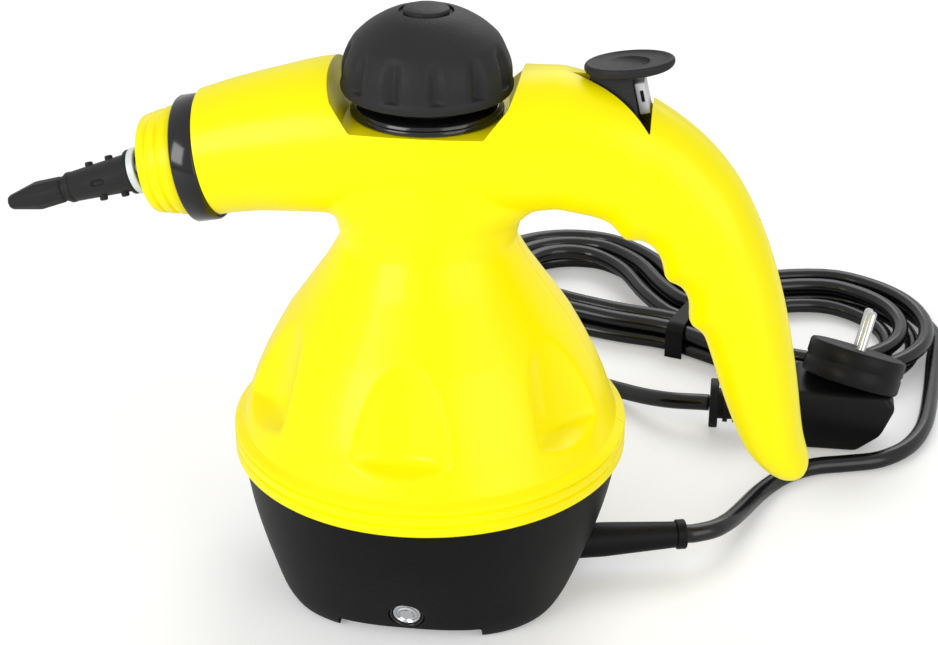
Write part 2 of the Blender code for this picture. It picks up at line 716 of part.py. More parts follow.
def make_body_cavity():
    """The hollow inside the housing, kept off the scoops, the saddle and the inner seats."""
    tongue_top = BODY_BOTTOM + BASE_TONGUE
    inner = BODY_RADIUS - BODY_WALL - SEAM
    profile = [(0, BAR_HEIGHT - BODY_WALL)] + bell_profile(BODY_WALL)
    profile += [(inner, tongue_top + BODY_WALL), (inner, BODY_BOTTOM - OVERRUN),
                (0, BODY_BOTTOM - OVERRUN)]
    cavity = turned("body_cavity", profile, steps=RING_STEPS, closed=False)
    front = ((-BAR_WALL, SPOUT_SEAT_RADIUS - BAR_WALL),
             (-SPOUT_SEAT_LENGTH, SPOUT_SEAT_RADIUS - BAR_WALL))
    rings = spout_sections(front, BAR_WALL, CAVITY_SIDES)
    rings += handle_sections(BAR_WALL, last=8, between=1, sides=CAVITY_SIDES)
    combine(cavity, add_object("bar_cavity", skin("bar_cavity", rings)), "UNION")
    for i, (_, _, angle) in enumerate(around(SCOOP_COUNT, 1, -math.pi / 2)):
        combine(cavity, scoop_cutter(i, angle, SCOOP_WALL))
    combine(cavity, saddle_cutter("saddle_wall", BAR_WALL))
    pivot = cylinder("pivot_boss", PIVOT_BOSS_RADIUS, 2 * HANDLE_DEPTH + OVERRUN,
                     location=(PIVOT_X, -HANDLE_DEPTH - OVERRUN / 2, PIVOT_Z), axis=(0, 1, 0))
    combine(pivot, box("pivot_gap", (OVERRUN, PIVOT_HUB_LENGTH + 2 * SEAM, OVERRUN),
                       location=(PIVOT_X, 0, PIVOT_Z)))
    combine(cavity, pivot)
    shelf_depth = OVERRUN
    combine(cavity, box("valve_shelf", (2 * SHELF_HALF_LENGTH, 2 * HANDLE_DEPTH, shelf_depth),
                        location=(VALVE_X, 0, VALVE_BOTTOM - SEAM - shelf_depth / 2)))
    return cavity


def slot_cutter():
    """The trigger's opening in the handle's top: a wedge that widens towards the grip."""
    bottom = PIVOT_Z - PIVOT_BOSS_RADIUS - SEAM
    outline = ((SLOT_FRONT, 0), (SLOT_REAR, -SLOT_HALF_WIDTH), (SLOT_REAR, SLOT_HALF_WIDTH))
    rings = [[Vector((x, y, z)) for x, y in outline] for z in (bottom, PAD_Z + OVERRUN)]
    return round_edges(add_object("trigger_slot", skin("trigger_slot", rings)), 0.4 * SLOT_HALF_WIDTH)


def make_body_shells():
    core = make_body_core()
    for i, (_, _, angle) in enumerate(around(SCOOP_COUNT, 1, -math.pi / 2)):
        combine(core, scoop_cutter(i, angle))
    combine(core, saddle_cutter("saddle"))
    combine(core, make_body_cavity())
    combine(core, slot_cutter())
    combine(core, cylinder("neck_hole", COLLAR_RING_BORE, OVERRUN, sides=INNER_STEPS,
                           location=(0, 0, SADDLE_FLOOR - OVERRUN / 2)))
    combine(core, cylinder("outlet_hole", OUTLET_RADIUS + SEAM, SPIGOT_LENGTH + OVERRUN,
                           location=(0, 0, -OVERRUN / 2), parent=SPOUT_AXIS))
    combine(core, cylinder("pivot_hole", PIVOT_PIN_RADIUS + SEAM, PIVOT_PIN_LENGTH + 2 * SEAM,
                           location=(PIVOT_X, -PIVOT_PIN_LENGTH / 2 - SEAM, PIVOT_Z), axis=(0, 1, 0)))
    span = 2 * (HANDLE_REACH + SPOUT_REACH)
    whole = settled_mesh(core)
    for name, side in (("body_shell_front", -1), ("body_shell_rear", 1)):
        half = add_object(name, whole.copy(), "yellow_plastic")
        combine(half, box(name + "_other_side", (2 * span, span, 2 * span),
                          location=(0, side * (SEAM - span) / 2, 0)))


def make_base():
    """The cup that holds the boiler, on four feet with a crossed recess between them."""
    def ring(height, radius, exponent):
        return [Vector((x, y, height)) for x, y in superellipse(radius, radius, exponent, RING_STEPS)]

    outer = [ring(BASE_HEIGHT * z, BASE_RADIUS * r, n) for z, r, n in reversed(BASE_SHARES)]
    tongue = BODY_RADIUS - BODY_WALL - 3 * SEAM
    rim_inner = BASE_RADIUS * BASE_SHARES[1][1] - BASE_WALL
    inner = [ring(BASE_HEIGHT * z, BASE_RADIUS * r - BASE_WALL, n) for z, r, n in BASE_SHARES[1:5]]
    floor_share, floor_exponent = BASE_SHARES[5][1:]
    rings = outer + [ring(BASE_HEIGHT, tongue, 2), ring(BASE_HEIGHT + BASE_TONGUE, tongue, 2),
                     ring(BASE_HEIGHT + BASE_TONGUE, rim_inner, 2)] + inner
    rings.append(ring(BASE_FLOOR, BASE_RADIUS * floor_share - BASE_WALL, floor_exponent))
    base = add_object("base_housing", skin("base_housing", rings), "matt_black")
    for i, (x, y, _) in enumerate(around(4, POST_CIRCLE, math.pi / 4)):
        post = cylinder("post_%d" % i, POST_RADIUS, POST_TOP - BASE_FLOOR / 2,
                        location=(x, y, BASE_FLOOR / 2), sides=SCREW_STEPS)
        combine(base, post, "UNION")
    span = 3 * BASE_RADIUS
    for name, size in (("recess_x", (FOOT_GAP, span)), ("recess_y", (span, FOOT_GAP))):
        combine(base, box(name, (*size, 2 * FOOT_HEIGHT)))
    combine(base, cylinder("boot_hole", BOOT_RADIUS + SEAM, BOOT_INSIDE + OVERRUN,
                           location=boot_point(-BOOT_INSIDE), axis=BOOT_AXIS))
    combine(base, cylinder("lens_hole", LENS_RADIUS + SEAM, 2 * OVERRUN, sides=INNER_STEPS,
                           location=lens_point(-OVERRUN), axis=LENS_AXIS))
    for i, (x, y, _) in enumerate(around(4, POST_CIRCLE, math.pi / 4)):
        combine(base, screw_hole("base_screw_hole_%d" % i, (x, y, 0), (0, 0, 1), POST_TOP + OVERRUN))
    return base


def make_spout_rings():
    """The gloss band on its seat and the screwed collar in front of it."""
    inner = SPOUT_SEAT_RADIUS + SEAM
    outer = SPOUT_STEP_RADIUS + BAND_THICKNESS / 4
    back = -SPOUT_SEAT_LENGTH + SEAM
    turned("spout_band", [
        (inner, -SEAM), (outer - BAND_ROUNDING, -SEAM), (outer, -SEAM - BAND_ROUNDING),
        (outer, back + BAND_ROUNDING), (outer - BAND_ROUNDING, back), (inner, back)],
        "gloss_black", parent=SPOUT_AXIS, steps=RING_STEPS)
    front, rear = COLLAR_LENGTH, SEAM
    slope = (SPOUT_SEAT_RADIUS - COLLAR_FRONT_RADIUS) / COLLAR_LENGTH
    profile = [(OUTLET_RADIUS + SEAM, front), (COLLAR_FRONT_RADIUS - COLLAR_RIDGE, front),
               (COLLAR_FRONT_RADIUS, front - COLLAR_RIDGE)]
    for share in COLLAR_RIDGE_SHARES:
        height = front * share
        radius = COLLAR_FRONT_RADIUS + slope * (front - height)
        profile += [(radius, height + COLLAR_RIDGE), (radius - COLLAR_RIDGE, height),
                    (radius + COLLAR_RIDGE / 2, height - COLLAR_RIDGE)]
    profile += [(SPOUT_SEAT_RADIUS, rear), (SPIGOT_RADIUS + SEAM, rear),
                (SPIGOT_RADIUS + SEAM, front - COLLAR_WALL), (OUTLET_RADIUS + SEAM, front - COLLAR_WALL)]
    turned("spout_collar", profile, "yellow_plastic", parent=SPOUT_AXIS, steps=RING_STEPS)


def make_nozzle():
    """The steam outlet and what is pushed on it, along the spout's axis."""
    flange = -BAR_WALL - SEAM
    stub = COLLAR_LENGTH + OUTLET_STUB_LENGTH
    tip = stub + OUTLET_TIP_LENGTH
    turned("steam_outlet", [
        (OUTLET_BORE, tip), (OUTLET_TIP_RADIUS, tip), (OUTLET_TIP_RADIUS, stub), (OUTLET_RADIUS, stub),
        (OUTLET_RADIUS, flange), (OUTLET_FLANGE_RADIUS, flange),
        (OUTLET_FLANGE_RADIUS, flange - OUTLET_FLANGE_THICKNESS),
        (OUTLET_BORE, flange - OUTLET_FLANGE_THICKNESS)], "matt_black", parent=SPOUT_AXIS,
        steps=INNER_STEPS)
    socket = OUTLET_TIP_RADIUS + SEAM
    seal = stub + SEAM
    turned("outlet_seal", [
        (socket, seal + SEAL_THICKNESS), (SEAL_RADIUS, seal + SEAL_THICKNESS), (SEAL_RADIUS, seal),
        (socket, seal)], "white_seal", parent=SPOUT_AXIS, steps=INNER_STEPS)
    rear = seal + SEAL_THICKNESS + SEAM
    body = nozzle_body(rear, socket, tip - rear + SEAM)
    tip_start = rear + NOZZLE_BODY_LENGTH + SEAM
    nozzle_tip(tip_start)
    return body


def nozzle_body(rear, socket, socket_depth):
    """Bayonet adapter: flange, four lugs, a locking rib and a neck for the jet tip."""
    length = NOZZLE_BODY_LENGTH
    neck = length - NOZZLE_NECK_LENGTH
    rib_high, rib_low = (length * share for share in NOZZLE_RIB_SHARES)
    body = turned("nozzle_body", [
        (NOZZLE_BORE, length), (NOZZLE_NECK_RADIUS, length), (NOZZLE_NECK_RADIUS, neck),
        (NOZZLE_RADIUS, neck), (NOZZLE_RADIUS, rib_high), (NOZZLE_RIB_RADIUS, rib_high),
        (NOZZLE_RIB_RADIUS, rib_low), (NOZZLE_RADIUS, rib_low), (NOZZLE_RADIUS, NOZZLE_FLANGE_LENGTH),
        (NOZZLE_FLANGE_RADIUS, NOZZLE_FLANGE_LENGTH), (NOZZLE_FLANGE_RADIUS, 0), (socket, 0),
        (socket, socket_depth), (NOZZLE_BORE, socket_depth)],
        "satin_black", location=(0, 0, rear), parent=SPOUT_AXIS, steps=INNER_STEPS)
    height = LUG_RADIUS - NOZZLE_RADIUS / 2 - socket / 2
    for i, (x, y, angle) in enumerate(around(LUG_COUNT, LUG_RADIUS - height / 2, math.pi / 4)):
        lug = box("bayonet_lug_%d" % i, (height, LUG_WIDTH, LUG_LENGTH),
                  location=(x, y, rear + LUG_START + LUG_LENGTH / 2), parent=SPOUT_AXIS)
        lug.rotation_euler = (0, 0, angle)
        combine(body, lug, "UNION")
    return body


def nozzle_tip(start):
    """Jet tip: a facetted grip that narrows to a blunt end, drilled through."""
    rings = []
    for length_share, radius_share in TIP_SHARES:
        radius = TIP_RADIUS * radius_share
        rings.append([Vector((x, y, TIP_LENGTH * length_share))
                      for x, y, _ in around(TIP_FACETS, radius, math.pi / TIP_FACETS)])
    tip = add_object("nozzle_tip", skin("nozzle_tip", rings), "satin_black",
                     location=(0, 0, start), parent=SPOUT_AXIS)
    bore = cylinder("tip_bore", TIP_BORE, TIP_LENGTH + 2 * OVERRUN, location=(0, 0, start - OVERRUN),
                    parent=SPOUT_AXIS, sides=12)
    return combine(tip, bore)


def fluted_ring(radius, height, depth):
    """A ring of the cap's skirt, with rounded hollows between its grips."""
    count = CAP_FLUTES * CAP_FLUTE_SIDES
    ring = []
    for i in range(count):
        angle = math.tau * i / count
        hollow = depth * (0.5 - 0.5 * math.cos(CAP_FLUTES * angle))
        ring.append(Vector(((radius - hollow) * math.cos(angle), (radius - hollow) * math.sin(angle),
                            height)))
    return ring


def make_cap():
    """Filler cap: a fluted dome that turns, and on the first millimetres is pressed, on its stopper."""
    top = CAP_LIP_HEIGHT + CAP_HEIGHT
    outer = [fluted_ring(CAP_RADIUS * r, CAP_LIP_HEIGHT + CAP_HEIGHT * z, CAP_FLUTE_DEPTH * deep)
             for r, z, deep in CAP_SKIRT_SHARES]
    dome = add_object("cap_dome", skin("cap_dome", outer), "satin_black")
    rise = CAP_HEIGHT - CAP_WALL - BADGE_THICKNESS
    inner = [(CAP_SKIRT_INNER * r, CAP_LIP_HEIGHT + rise * z) for r, z in reversed(CAP_CAVITY_SHARES)]
    inner += [(CAP_SKIRT_INNER, CAP_LIP_HEIGHT - OVERRUN), (0, CAP_LIP_HEIGHT - OVERRUN)]
    combine(dome, turned("cap_cavity", [(0, inner[0][1])] + inner, steps=INNER_STEPS, closed=False))
    groove_inner, groove_outer = BADGE_RADIUS, BADGE_RADIUS + BADGE_GROOVE
    depth = top - BADGE_THICKNESS
    combine(dome, cylinder("badge_seat", groove_outer, OVERRUN, sides=INNER_STEPS,
                           location=(0, 0, depth)))
    turned("cap_badge", [
        (0, top + BADGE_GROOVE / 4), (groove_inner - BADGE_GROOVE / 4, top + BADGE_GROOVE / 4),
        (groove_inner, top), (groove_inner, depth + SEAM), (0, depth + SEAM)],
        "satin_black", steps=INNER_STEPS, closed=False)
    make_stopper()


def make_stopper():
    """What the dome turns: the threaded plug with its seal, springs and relief valve."""
    flange = CAP_LIP_HEIGHT - STOPPER_FLANGE_HEIGHT + CAP_PRESS / 3
    washer = NECK_TOP + CAP_SEAL_THICKNESS + 2 * SEAM
    bottom = flange - STOPPER_PLUG_LENGTH
    top = flange + STOPPER_FLANGE_HEIGHT
    hub = top + STOPPER_HUB_HEIGHT
    plug = NECK_BORE - SEAM
    seat = bottom + RELIEF_BORE
    turned("cap_stopper", [
        (0, hub), (STOPPER_HUB_RADIUS, hub), (STOPPER_HUB_RADIUS, top), (STOPPER_FLANGE_RADIUS, top),
        (STOPPER_FLANGE_RADIUS, flange), (plug, flange), (plug, bottom), (RELIEF_ORIFICE, bottom),
        (RELIEF_ORIFICE, seat), (RELIEF_BORE, seat), (RELIEF_BORE, flange), (0, flange)],
        "satin_black", steps=INNER_STEPS, closed=False)
    ring_inner = plug + 2 * SEAM
    turned("cap_seal_ring", [
        (ring_inner, washer - SEAM), (CAP_SEAL_RADIUS, washer - SEAM), (CAP_SEAL_RADIUS, NECK_TOP + SEAM),
        (ring_inner, NECK_TOP + SEAM)], "red_rubber", steps=SMALL_STEPS)
    turned("cap_washer", [
        (ring_inner, washer + CAP_WASHER_THICKNESS), (CAP_SEAL_RADIUS, washer + CAP_WASHER_THICKNESS),
        (CAP_SEAL_RADIUS, washer), (ring_inner, washer)], "steel", steps=SMALL_STEPS)
    wire = CAP_SPRING_WIRE
    ceiling = CAP_LIP_HEIGHT + CAP_HEIGHT - CAP_WALL - BADGE_THICKNESS
    tube("cap_spring", coil_points(CAP_SPRING_RADIUS, top + wire + SEAM, ceiling - wire - SEAM,
                                   CAP_SPRING_TURNS), wire, "steel", 0)
    poppet = RELIEF_BORE - SEAM
    poppet_top = seat + SEAM + RELIEF_LIFT
    turned("relief_poppet", [
        (0, poppet_top), (poppet, poppet_top), (poppet, seat + SEAM), (0, seat + SEAM)],
        "brass", steps=16, closed=False)
    wire = RELIEF_SPRING_WIRE
    tube("relief_spring", coil_points(RELIEF_SPRING_RADIUS, poppet_top + wire + SEAM,
                                      flange - wire - SEAM, RELIEF_SPRING_TURNS), wire, "steel", 0)


def make_filler_collar():
    """The fixed ring round the boiler's neck, on the saddle's floor."""
    bottom = SADDLE_FLOOR + SEAM
    flange = bottom + COLLAR_RING_FLANGE_HEIGHT
    top = bottom + COLLAR_RING_HEIGHT
    turned("filler_collar", [
        (COLLAR_RING_BORE, top), (COLLAR_RING_RADIUS - BADGE_GROOVE, top), (COLLAR_RING_RADIUS, top - BADGE_GROOVE),
        (COLLAR_RING_RADIUS, flange), (COLLAR_RING_FLANGE, flange), (COLLAR_RING_FLANGE, bottom),
        (COLLAR_RING_BORE, bottom)], "gloss_black", steps=RING_STEPS)


def make_boiler():
    """Two pressed cups bolted at their flanges, on a bracket over the base's posts."""
    inner = BOILER_RADIUS - BOILER_WALL
    low_top = BOILER_FLANGE_HEIGHT + BOILER_FLANGE_THICKNESS
    lower = turned("boiler_lower", [
        (0, BOILER_BOTTOM + BOILER_WALL), (inner, BOILER_BOTTOM + BOILER_WALL), (inner, low_top),
        (BOILER_FLANGE_RADIUS, low_top), (BOILER_FLANGE_RADIUS, BOILER_FLANGE_HEIGHT),
        (BOILER_RADIUS, BOILER_FLANGE_HEIGHT), (BOILER_RADIUS, BOILER_BOTTOM + BOILER_WALL),
        (BOILER_RADIUS - BOILER_WALL, BOILER_BOTTOM), (0, BOILER_BOTTOM)],
        "aluminium", steps=SMALL_STEPS, closed=False)
    bracket = POST_TOP + SEAM
    foot_bottom = bracket + BRACKET_THICKNESS + SEAM
    for i, (x, y, _) in enumerate(around(4, BOILER_FOOT_CIRCLE)):
        combine(lower, cylinder("boiler_foot_%d" % i, BOILER_FOOT_RADIUS,
                                BOILER_BOTTOM + BOILER_WALL / 2 - foot_bottom,
                                location=(x, y, foot_bottom), sides=SCREW_STEPS), "UNION")
    plate = turned("boiler_bracket", [
        (BRACKET_INNER_RADIUS, bracket + BRACKET_THICKNESS),
        (BOILER_FLANGE_RADIUS, bracket + BRACKET_THICKNESS),
        (BOILER_FLANGE_RADIUS, bracket), (BRACKET_INNER_RADIUS, bracket)], "steel", steps=SMALL_STEPS)
    for i, (x, y, _) in enumerate(around(4, POST_CIRCLE, math.pi / 4)):
        combine(plate, cylinder("bracket_hole_%d" % i, SCREW_RADIUS + SCREW_CLEARANCE, OVERRUN,
                                location=(x, y, bracket - OVERRUN / 2), sides=SCREW_STEPS))
    gasket = low_top + SEAM
    turned("boiler_gasket", [
        (inner, gasket + GASKET_THICKNESS), (BOLT_CIRCLE - BOLT_HEAD_RADIUS, gasket + GASKET_THICKNESS),
        (BOLT_CIRCLE - BOLT_HEAD_RADIUS, gasket), (inner, gasket)], "red_rubber", steps=SMALL_STEPS)
    upper = make_boiler_top(gasket + GASKET_THICKNESS + SEAM, inner)
    add_bolts(lower, upper, gasket + GASKET_THICKNESS + SEAM + BOILER_FLANGE_THICKNESS)


def make_boiler_top(bottom, inner):
    """The domed upper half with the filler neck and the steam port."""
    rise = BOILER_DOME_HEIGHT
    outer_dome, inner_dome = [], []
    for step in range(DOME_STEPS + 1):
        angle = math.pi / 2 * step / DOME_STEPS
        outer_dome.append((NECK_RADIUS + (BOILER_RADIUS - NECK_RADIUS) * math.sin(angle),
                           BOILER_SHOULDER + rise * math.cos(angle)))
        inner_dome.append((NECK_BORE + (inner - NECK_BORE) * math.sin(angle),
                           BOILER_SHOULDER + (rise - BOILER_WALL) * math.cos(angle)))
    profile = [(NECK_BORE, NECK_TOP), (NECK_RADIUS, NECK_TOP)] + outer_dome
    profile += [(BOILER_RADIUS, bottom + BOILER_FLANGE_THICKNESS),
                (BOILER_FLANGE_RADIUS, bottom + BOILER_FLANGE_THICKNESS),
                (BOILER_FLANGE_RADIUS, bottom), (inner, bottom)] + list(reversed(inner_dome))
    upper = turned("boiler_upper", profile, "aluminium", steps=SMALL_STEPS)
    port = cylinder("steam_port", PORT_RADIUS, PORT_HEIGHT, sides=SCREW_STEPS,
                    location=(PORT_X, 0, PORT_TOP - PORT_HEIGHT))
    combine(upper, port, "UNION")
    return combine(upper, cylinder("steam_port_bore", PIPE_RADIUS, BOILER_DOME_HEIGHT + OVERRUN,
                                   location=(PORT_X, 0, PORT_TOP - BOILER_DOME_HEIGHT), sides=SCREW_STEPS))


def add_bolts(lower, upper, top):
    """Bolts through both flanges, head up."""
    length = top - BOILER_FLANGE_HEIGHT + BOLT_HEAD_HEIGHT
    for i, (x, y, _) in enumerate(around(BOLT_COUNT, BOLT_CIRCLE, math.pi / 4)):
        hole = cylinder("bolt_hole_%d" % i, BOLT_RADIUS + SCREW_CLEARANCE, length + OVERRUN,
                        location=(x, y, BOILER_FLANGE_HEIGHT - OVERRUN / 2), sides=SCREW_STEPS)
        combine(lower, hole)
        combine(upper, hole)
        turned("boiler_bolt_%d" % (i + 1), [
            (0, BOLT_HEAD_HEIGHT + SEAM), (BOLT_HEAD_RADIUS, BOLT_HEAD_HEIGHT + SEAM),
            (BOLT_HEAD_RADIUS, SEAM), (BOLT_RADIUS, SEAM), (BOLT_RADIUS, -length), (0, -length)],
            "steel", location=(x, y, top), steps=SCREW_STEPS, closed=False)


def make_heating():
    """What heats and guards the boiler, under its bottom, and the parts on the base's floor."""
    ceiling = BOILER_BOTTOM - SEAM
    ring = []
    for i in range(HEATER_SIDES):
        angle = -math.tau * i / HEATER_SIDES
        ring.append((HEATER_RADIUS + HEATER_TUBE * math.cos(angle),
                     ceiling - HEATER_TUBE + HEATER_TUBE * math.sin(angle)))
    turned("heating_element", ring, "steel", steps=SMALL_STEPS)
    cylinder("thermostat", THERMOSTAT_RADIUS, THERMOSTAT_HEIGHT, "matt_black",
             location=(0, 0, ceiling - THERMOSTAT_HEIGHT))
    cylinder("thermal_fuse", FUSE_RADIUS, FUSE_LENGTH, "white_seal",
             location=(-THERMOSTAT_RADIUS - 2 * FUSE_RADIUS, -FUSE_LENGTH / 2, ceiling - FUSE_RADIUS),
             axis=(0, 1, 0), sides=12)
    length, width, height = TERMINAL_SIZE
    terminal = box("terminal_block", TERMINAL_SIZE, "white_seal",
                   location=(length, width + length / 2, BASE_FLOOR + SEAM + height / 2))
    for i in range(TERMINAL_WAYS):
        x = length * (1.5 - (i + 0.5) / TERMINAL_WAYS)
        combine(terminal, cylinder("terminal_way_%d" % i, height / 4, 2 * width, sides=10,
                                   location=(x, length / 2, BASE_FLOOR + SEAM + height / 2), axis=(0, 1, 0)))
    clamp = boot_point(-BOOT_INSIDE - CLAMP_SIZE[0] / 2 - SEAM)
    block = box("cord_clamp", CLAMP_SIZE, "grey_plastic",
                location=(clamp.x, clamp.y, BASE_FLOOR + SEAM + CLAMP_SIZE[2] / 2))
    block.rotation_euler = (0, 0, BOOT_YAW)
    combine(block, cylinder("clamp_bore", CORD_DIAMETER / 2, 2 * CLAMP_SIZE[0], sides=12,
                            location=boot_point(-BOOT_INSIDE - 1.5 * CLAMP_SIZE[0]), axis=BOOT_AXIS))


def make_indicator():
    lens = turned("indicator_lens", [
        (0, -SEAM), (LENS_RADIUS * LENS_FACE_SHARE, 0), (LENS_RADIUS, -LENS_THICKNESS / 4),
        (LENS_RADIUS, -LENS_THICKNESS), (0, -LENS_THICKNESS)],
        "clear_lens", location=lens_point(0), axis=LENS_AXIS, steps=24, closed=False)
    cylinder("indicator_lamp", LAMP_RADIUS, LAMP_LENGTH, "red_rubber",
             location=lens_point(-LENS_THICKNESS - SEAM - LAMP_LENGTH), axis=LENS_AXIS, sides=16)
    return lens


def make_trigger():
    """Thumb pad, wedge and hub in one piece, with its origin on the pivot."""
    rings = []
    for size, rise in PAD_SHARES:
        ring = []
        for x, y in superellipse(PAD_LENGTH / 2 * size, PAD_WIDTH / 2 * size, 2, PAD_SIDES):
            ring.append(Vector((PAD_X + x - PIVOT_X, y,
                                PAD_Z + PAD_THICKNESS * rise + x * math.tan(PAD_TILT) - PIVOT_Z)))
        rings.append(ring)
    trigger = add_object("trigger", skin("trigger", rings), "satin_black",
                         location=(PIVOT_X, 0, PIVOT_Z))
    front = PAD_X - PAD_LENGTH / 2
    rings = []
    for rise, fore, aft, fore_width, aft_width in STEM_SHARES:
        z = STEM_BOTTOM + (PAD_Z - STEM_BOTTOM) * rise
        ends = ((front + PAD_LENGTH * fore, STEM_HALF_WIDTH * fore_width),
                (front + PAD_LENGTH * aft, STEM_HALF_WIDTH * aft_width))
        (x0, y0), (x1, y1) = ends
        rings.append([Vector(p) for p in ((x0, -y0, z), (x1, -y1, z), (x1, y1, z), (x0, y0, z))])
    combine(trigger, add_object("trigger_stem", skin("trigger_stem", rings)), "UNION")
    combine(trigger, cylinder("trigger_hub", PIVOT_BOSS_RADIUS, PIVOT_HUB_LENGTH, axis=(0, 1, 0),
                              location=(PIVOT_X, -PIVOT_HUB_LENGTH / 2, PIVOT_Z)), "UNION")
    combine(trigger, cylinder("trigger_bore", PIVOT_PIN_RADIUS + SEAM, 2 * PIVOT_HUB_LENGTH,
                              location=(PIVOT_X, -PIVOT_HUB_LENGTH, PIVOT_Z), axis=(0, 1, 0)))
    cylinder("trigger_pin", PIVOT_PIN_RADIUS, PIVOT_PIN_LENGTH, "steel",
             location=(PIVOT_X, -PIVOT_PIN_LENGTH / 2, PIVOT_Z), axis=(0, 1, 0))
    make_lock(front)


def make_lock(front):
    """The locking slider, flat on the wedge's rear face."""
    high, low = STEM_SHARES[0], STEM_SHARES[1]
    run = PAD_LENGTH * (low[2] - high[2])
    drop = (PAD_Z - STEM_BOTTOM) * (high[0] - low[0])
    face = Vector((drop, 0, run)).normalized()
    share = LOCK_PLACE_SHARE
    place = Vector((front + PAD_LENGTH * high[2] + run * share, 0, PAD_Z - drop * share))
    box("lock_slider", (LOCK_LENGTH, LOCK_WIDTH, LOCK_THICKNESS), "grey_plastic",
        location=place + face * (LOCK_THICKNESS / 2 + SEAM), axis=face)


def make_valve():
    """Steam valve on its shelf in the handle, its plunger and spring under the trigger's wedge."""
    top = VALVE_BOTTOM + VALVE_HEIGHT
    bore = PLUNGER_RADIUS + SEAM
    bore_bottom = VALVE_BOTTOM + VALVE_HEIGHT / 3
    turned("valve_body", [
        (0, bore_bottom), (bore, bore_bottom), (bore, top), (VALVE_RADIUS, top),
        (VALVE_RADIUS, VALVE_BOTTOM), (0, VALVE_BOTTOM)],
        "brass", location=(VALVE_X, 0, 0), steps=24, closed=False)
    head_top = STEM_BOTTOM - SEAM
    head_bottom = head_top - PLUNGER_HEAD_THICKNESS
    turned("valve_plunger", [
        (0, head_top), (PLUNGER_HEAD_RADIUS, head_top), (PLUNGER_HEAD_RADIUS, head_bottom),
        (PLUNGER_RADIUS, head_bottom), (PLUNGER_RADIUS, bore_bottom + VALVE_TRAVEL + SEAM),
        (0, bore_bottom + VALVE_TRAVEL + SEAM)],
        "brass", location=(VALVE_X, 0, 0), steps=24, closed=False)
    wire = VALVE_SPRING_WIRE
    spring = tube("valve_spring", coil_points(VALVE_SPRING_RADIUS, top + wire + SEAM,
                                              head_bottom - wire - SEAM, VALVE_SPRING_TURNS),
                  wire, "steel", 0)
    spring.location = (VALVE_X, 0, 0)
    port = VALVE_BOTTOM + VALVE_HEIGHT / 2
    reach = VALVE_RADIUS + SEAM
    tube("steam_pipe", spline_points([(PORT_X, 0, PORT_TOP + SEAM)] + list(STEAM_PIPE_ROUTE)
                                     + [(VALVE_X - reach, 0, port)], 2), PIPE_RADIUS, "brass", 1)
    rear = -BAR_WALL - OUTLET_FLANGE_THICKNESS - 2 * SEAM
    end = [(-SPOUT_REACH - math.cos(SPOUT_TILT) * s, 0, SPOUT_HEIGHT - math.sin(SPOUT_TILT) * s)
           for s in (rear - OUTLET_FLANGE_RADIUS, rear)]
    tube("outlet_pipe", spline_points([(VALVE_X, reach, port)] + list(OUTLET_PIPE_ROUTE) + end, 2),
         PIPE_RADIUS, "brass", 1)


def make_boot():
    """The cord's strain relief: a tapered sleeve with an end ring."""
    end, back = BOOT_OUTSIDE, SEAM - BOOT_INSIDE
    turned("cord_boot", [
        (0, end), (BOOT_RING_RADIUS, end), (BOOT_RING_RADIUS, end - BOOT_RING_LENGTH),
        (BOOT_END_RADIUS, end - BOOT_RING_LENGTH), (BOOT_RADIUS, BOOT_RING_LENGTH), (BOOT_RADIUS, back),
        (0, back)], "matt_black", location=boot_point(0), axis=BOOT_AXIS, steps=20, closed=False)


def evenly_spaced(points, spacing):
    """Points at about one spacing along a fine polyline, both ends kept."""
    lengths = [0]
    for a, b in zip(points, points[1:]):
        lengths.append(lengths[-1] + (b - a).length)
    count = max(2, round(lengths[-1] / spacing))
    spaced, i = [], 0
    for step in range(count + 1):
        wanted = lengths[-1] * step / count
        while i < len(lengths) - 2 and lengths[i + 1] < wanted:
            i += 1
        share = (wanted - lengths[i]) / (lengths[i + 1] - lengths[i])
        spaced.append(points[i].lerp(points[i + 1], min(share, 1)))
    return spaced


def waist_width(along):
    """Half width of the hank's innermost loop at a place along its axis, and its slope."""
    run, fold = ((HANK_RIGHT_RUN, HANK_RIGHT_FOLD_RADIUS) if along >= 0
                 else (HANK_LEFT_RUN, HANK_LEFT_FOLD_RADIUS))
    swell = (fold - HANK_WAIST_HALF_WIDTH) / 2
    phase = math.pi * along / run
    return HANK_WAIST_HALF_WIDTH + swell * (1 - math.cos(phase)), swell * math.pi / run * math.sin(phase)


def waist_step(along):
    """Spacing of neighbouring loops at a place along the hank's axis."""
    run, fold_step = (HANK_RIGHT_RUN, HANK_RIGHT_STEP) if along >= 0 else (HANK_LEFT_RUN, HANK_LEFT_STEP)
    blend = (1 - math.cos(math.pi * along / run)) / 2
    return HANK_WAIST_STEP + (fold_step - HANK_WAIST_STEP) * blend


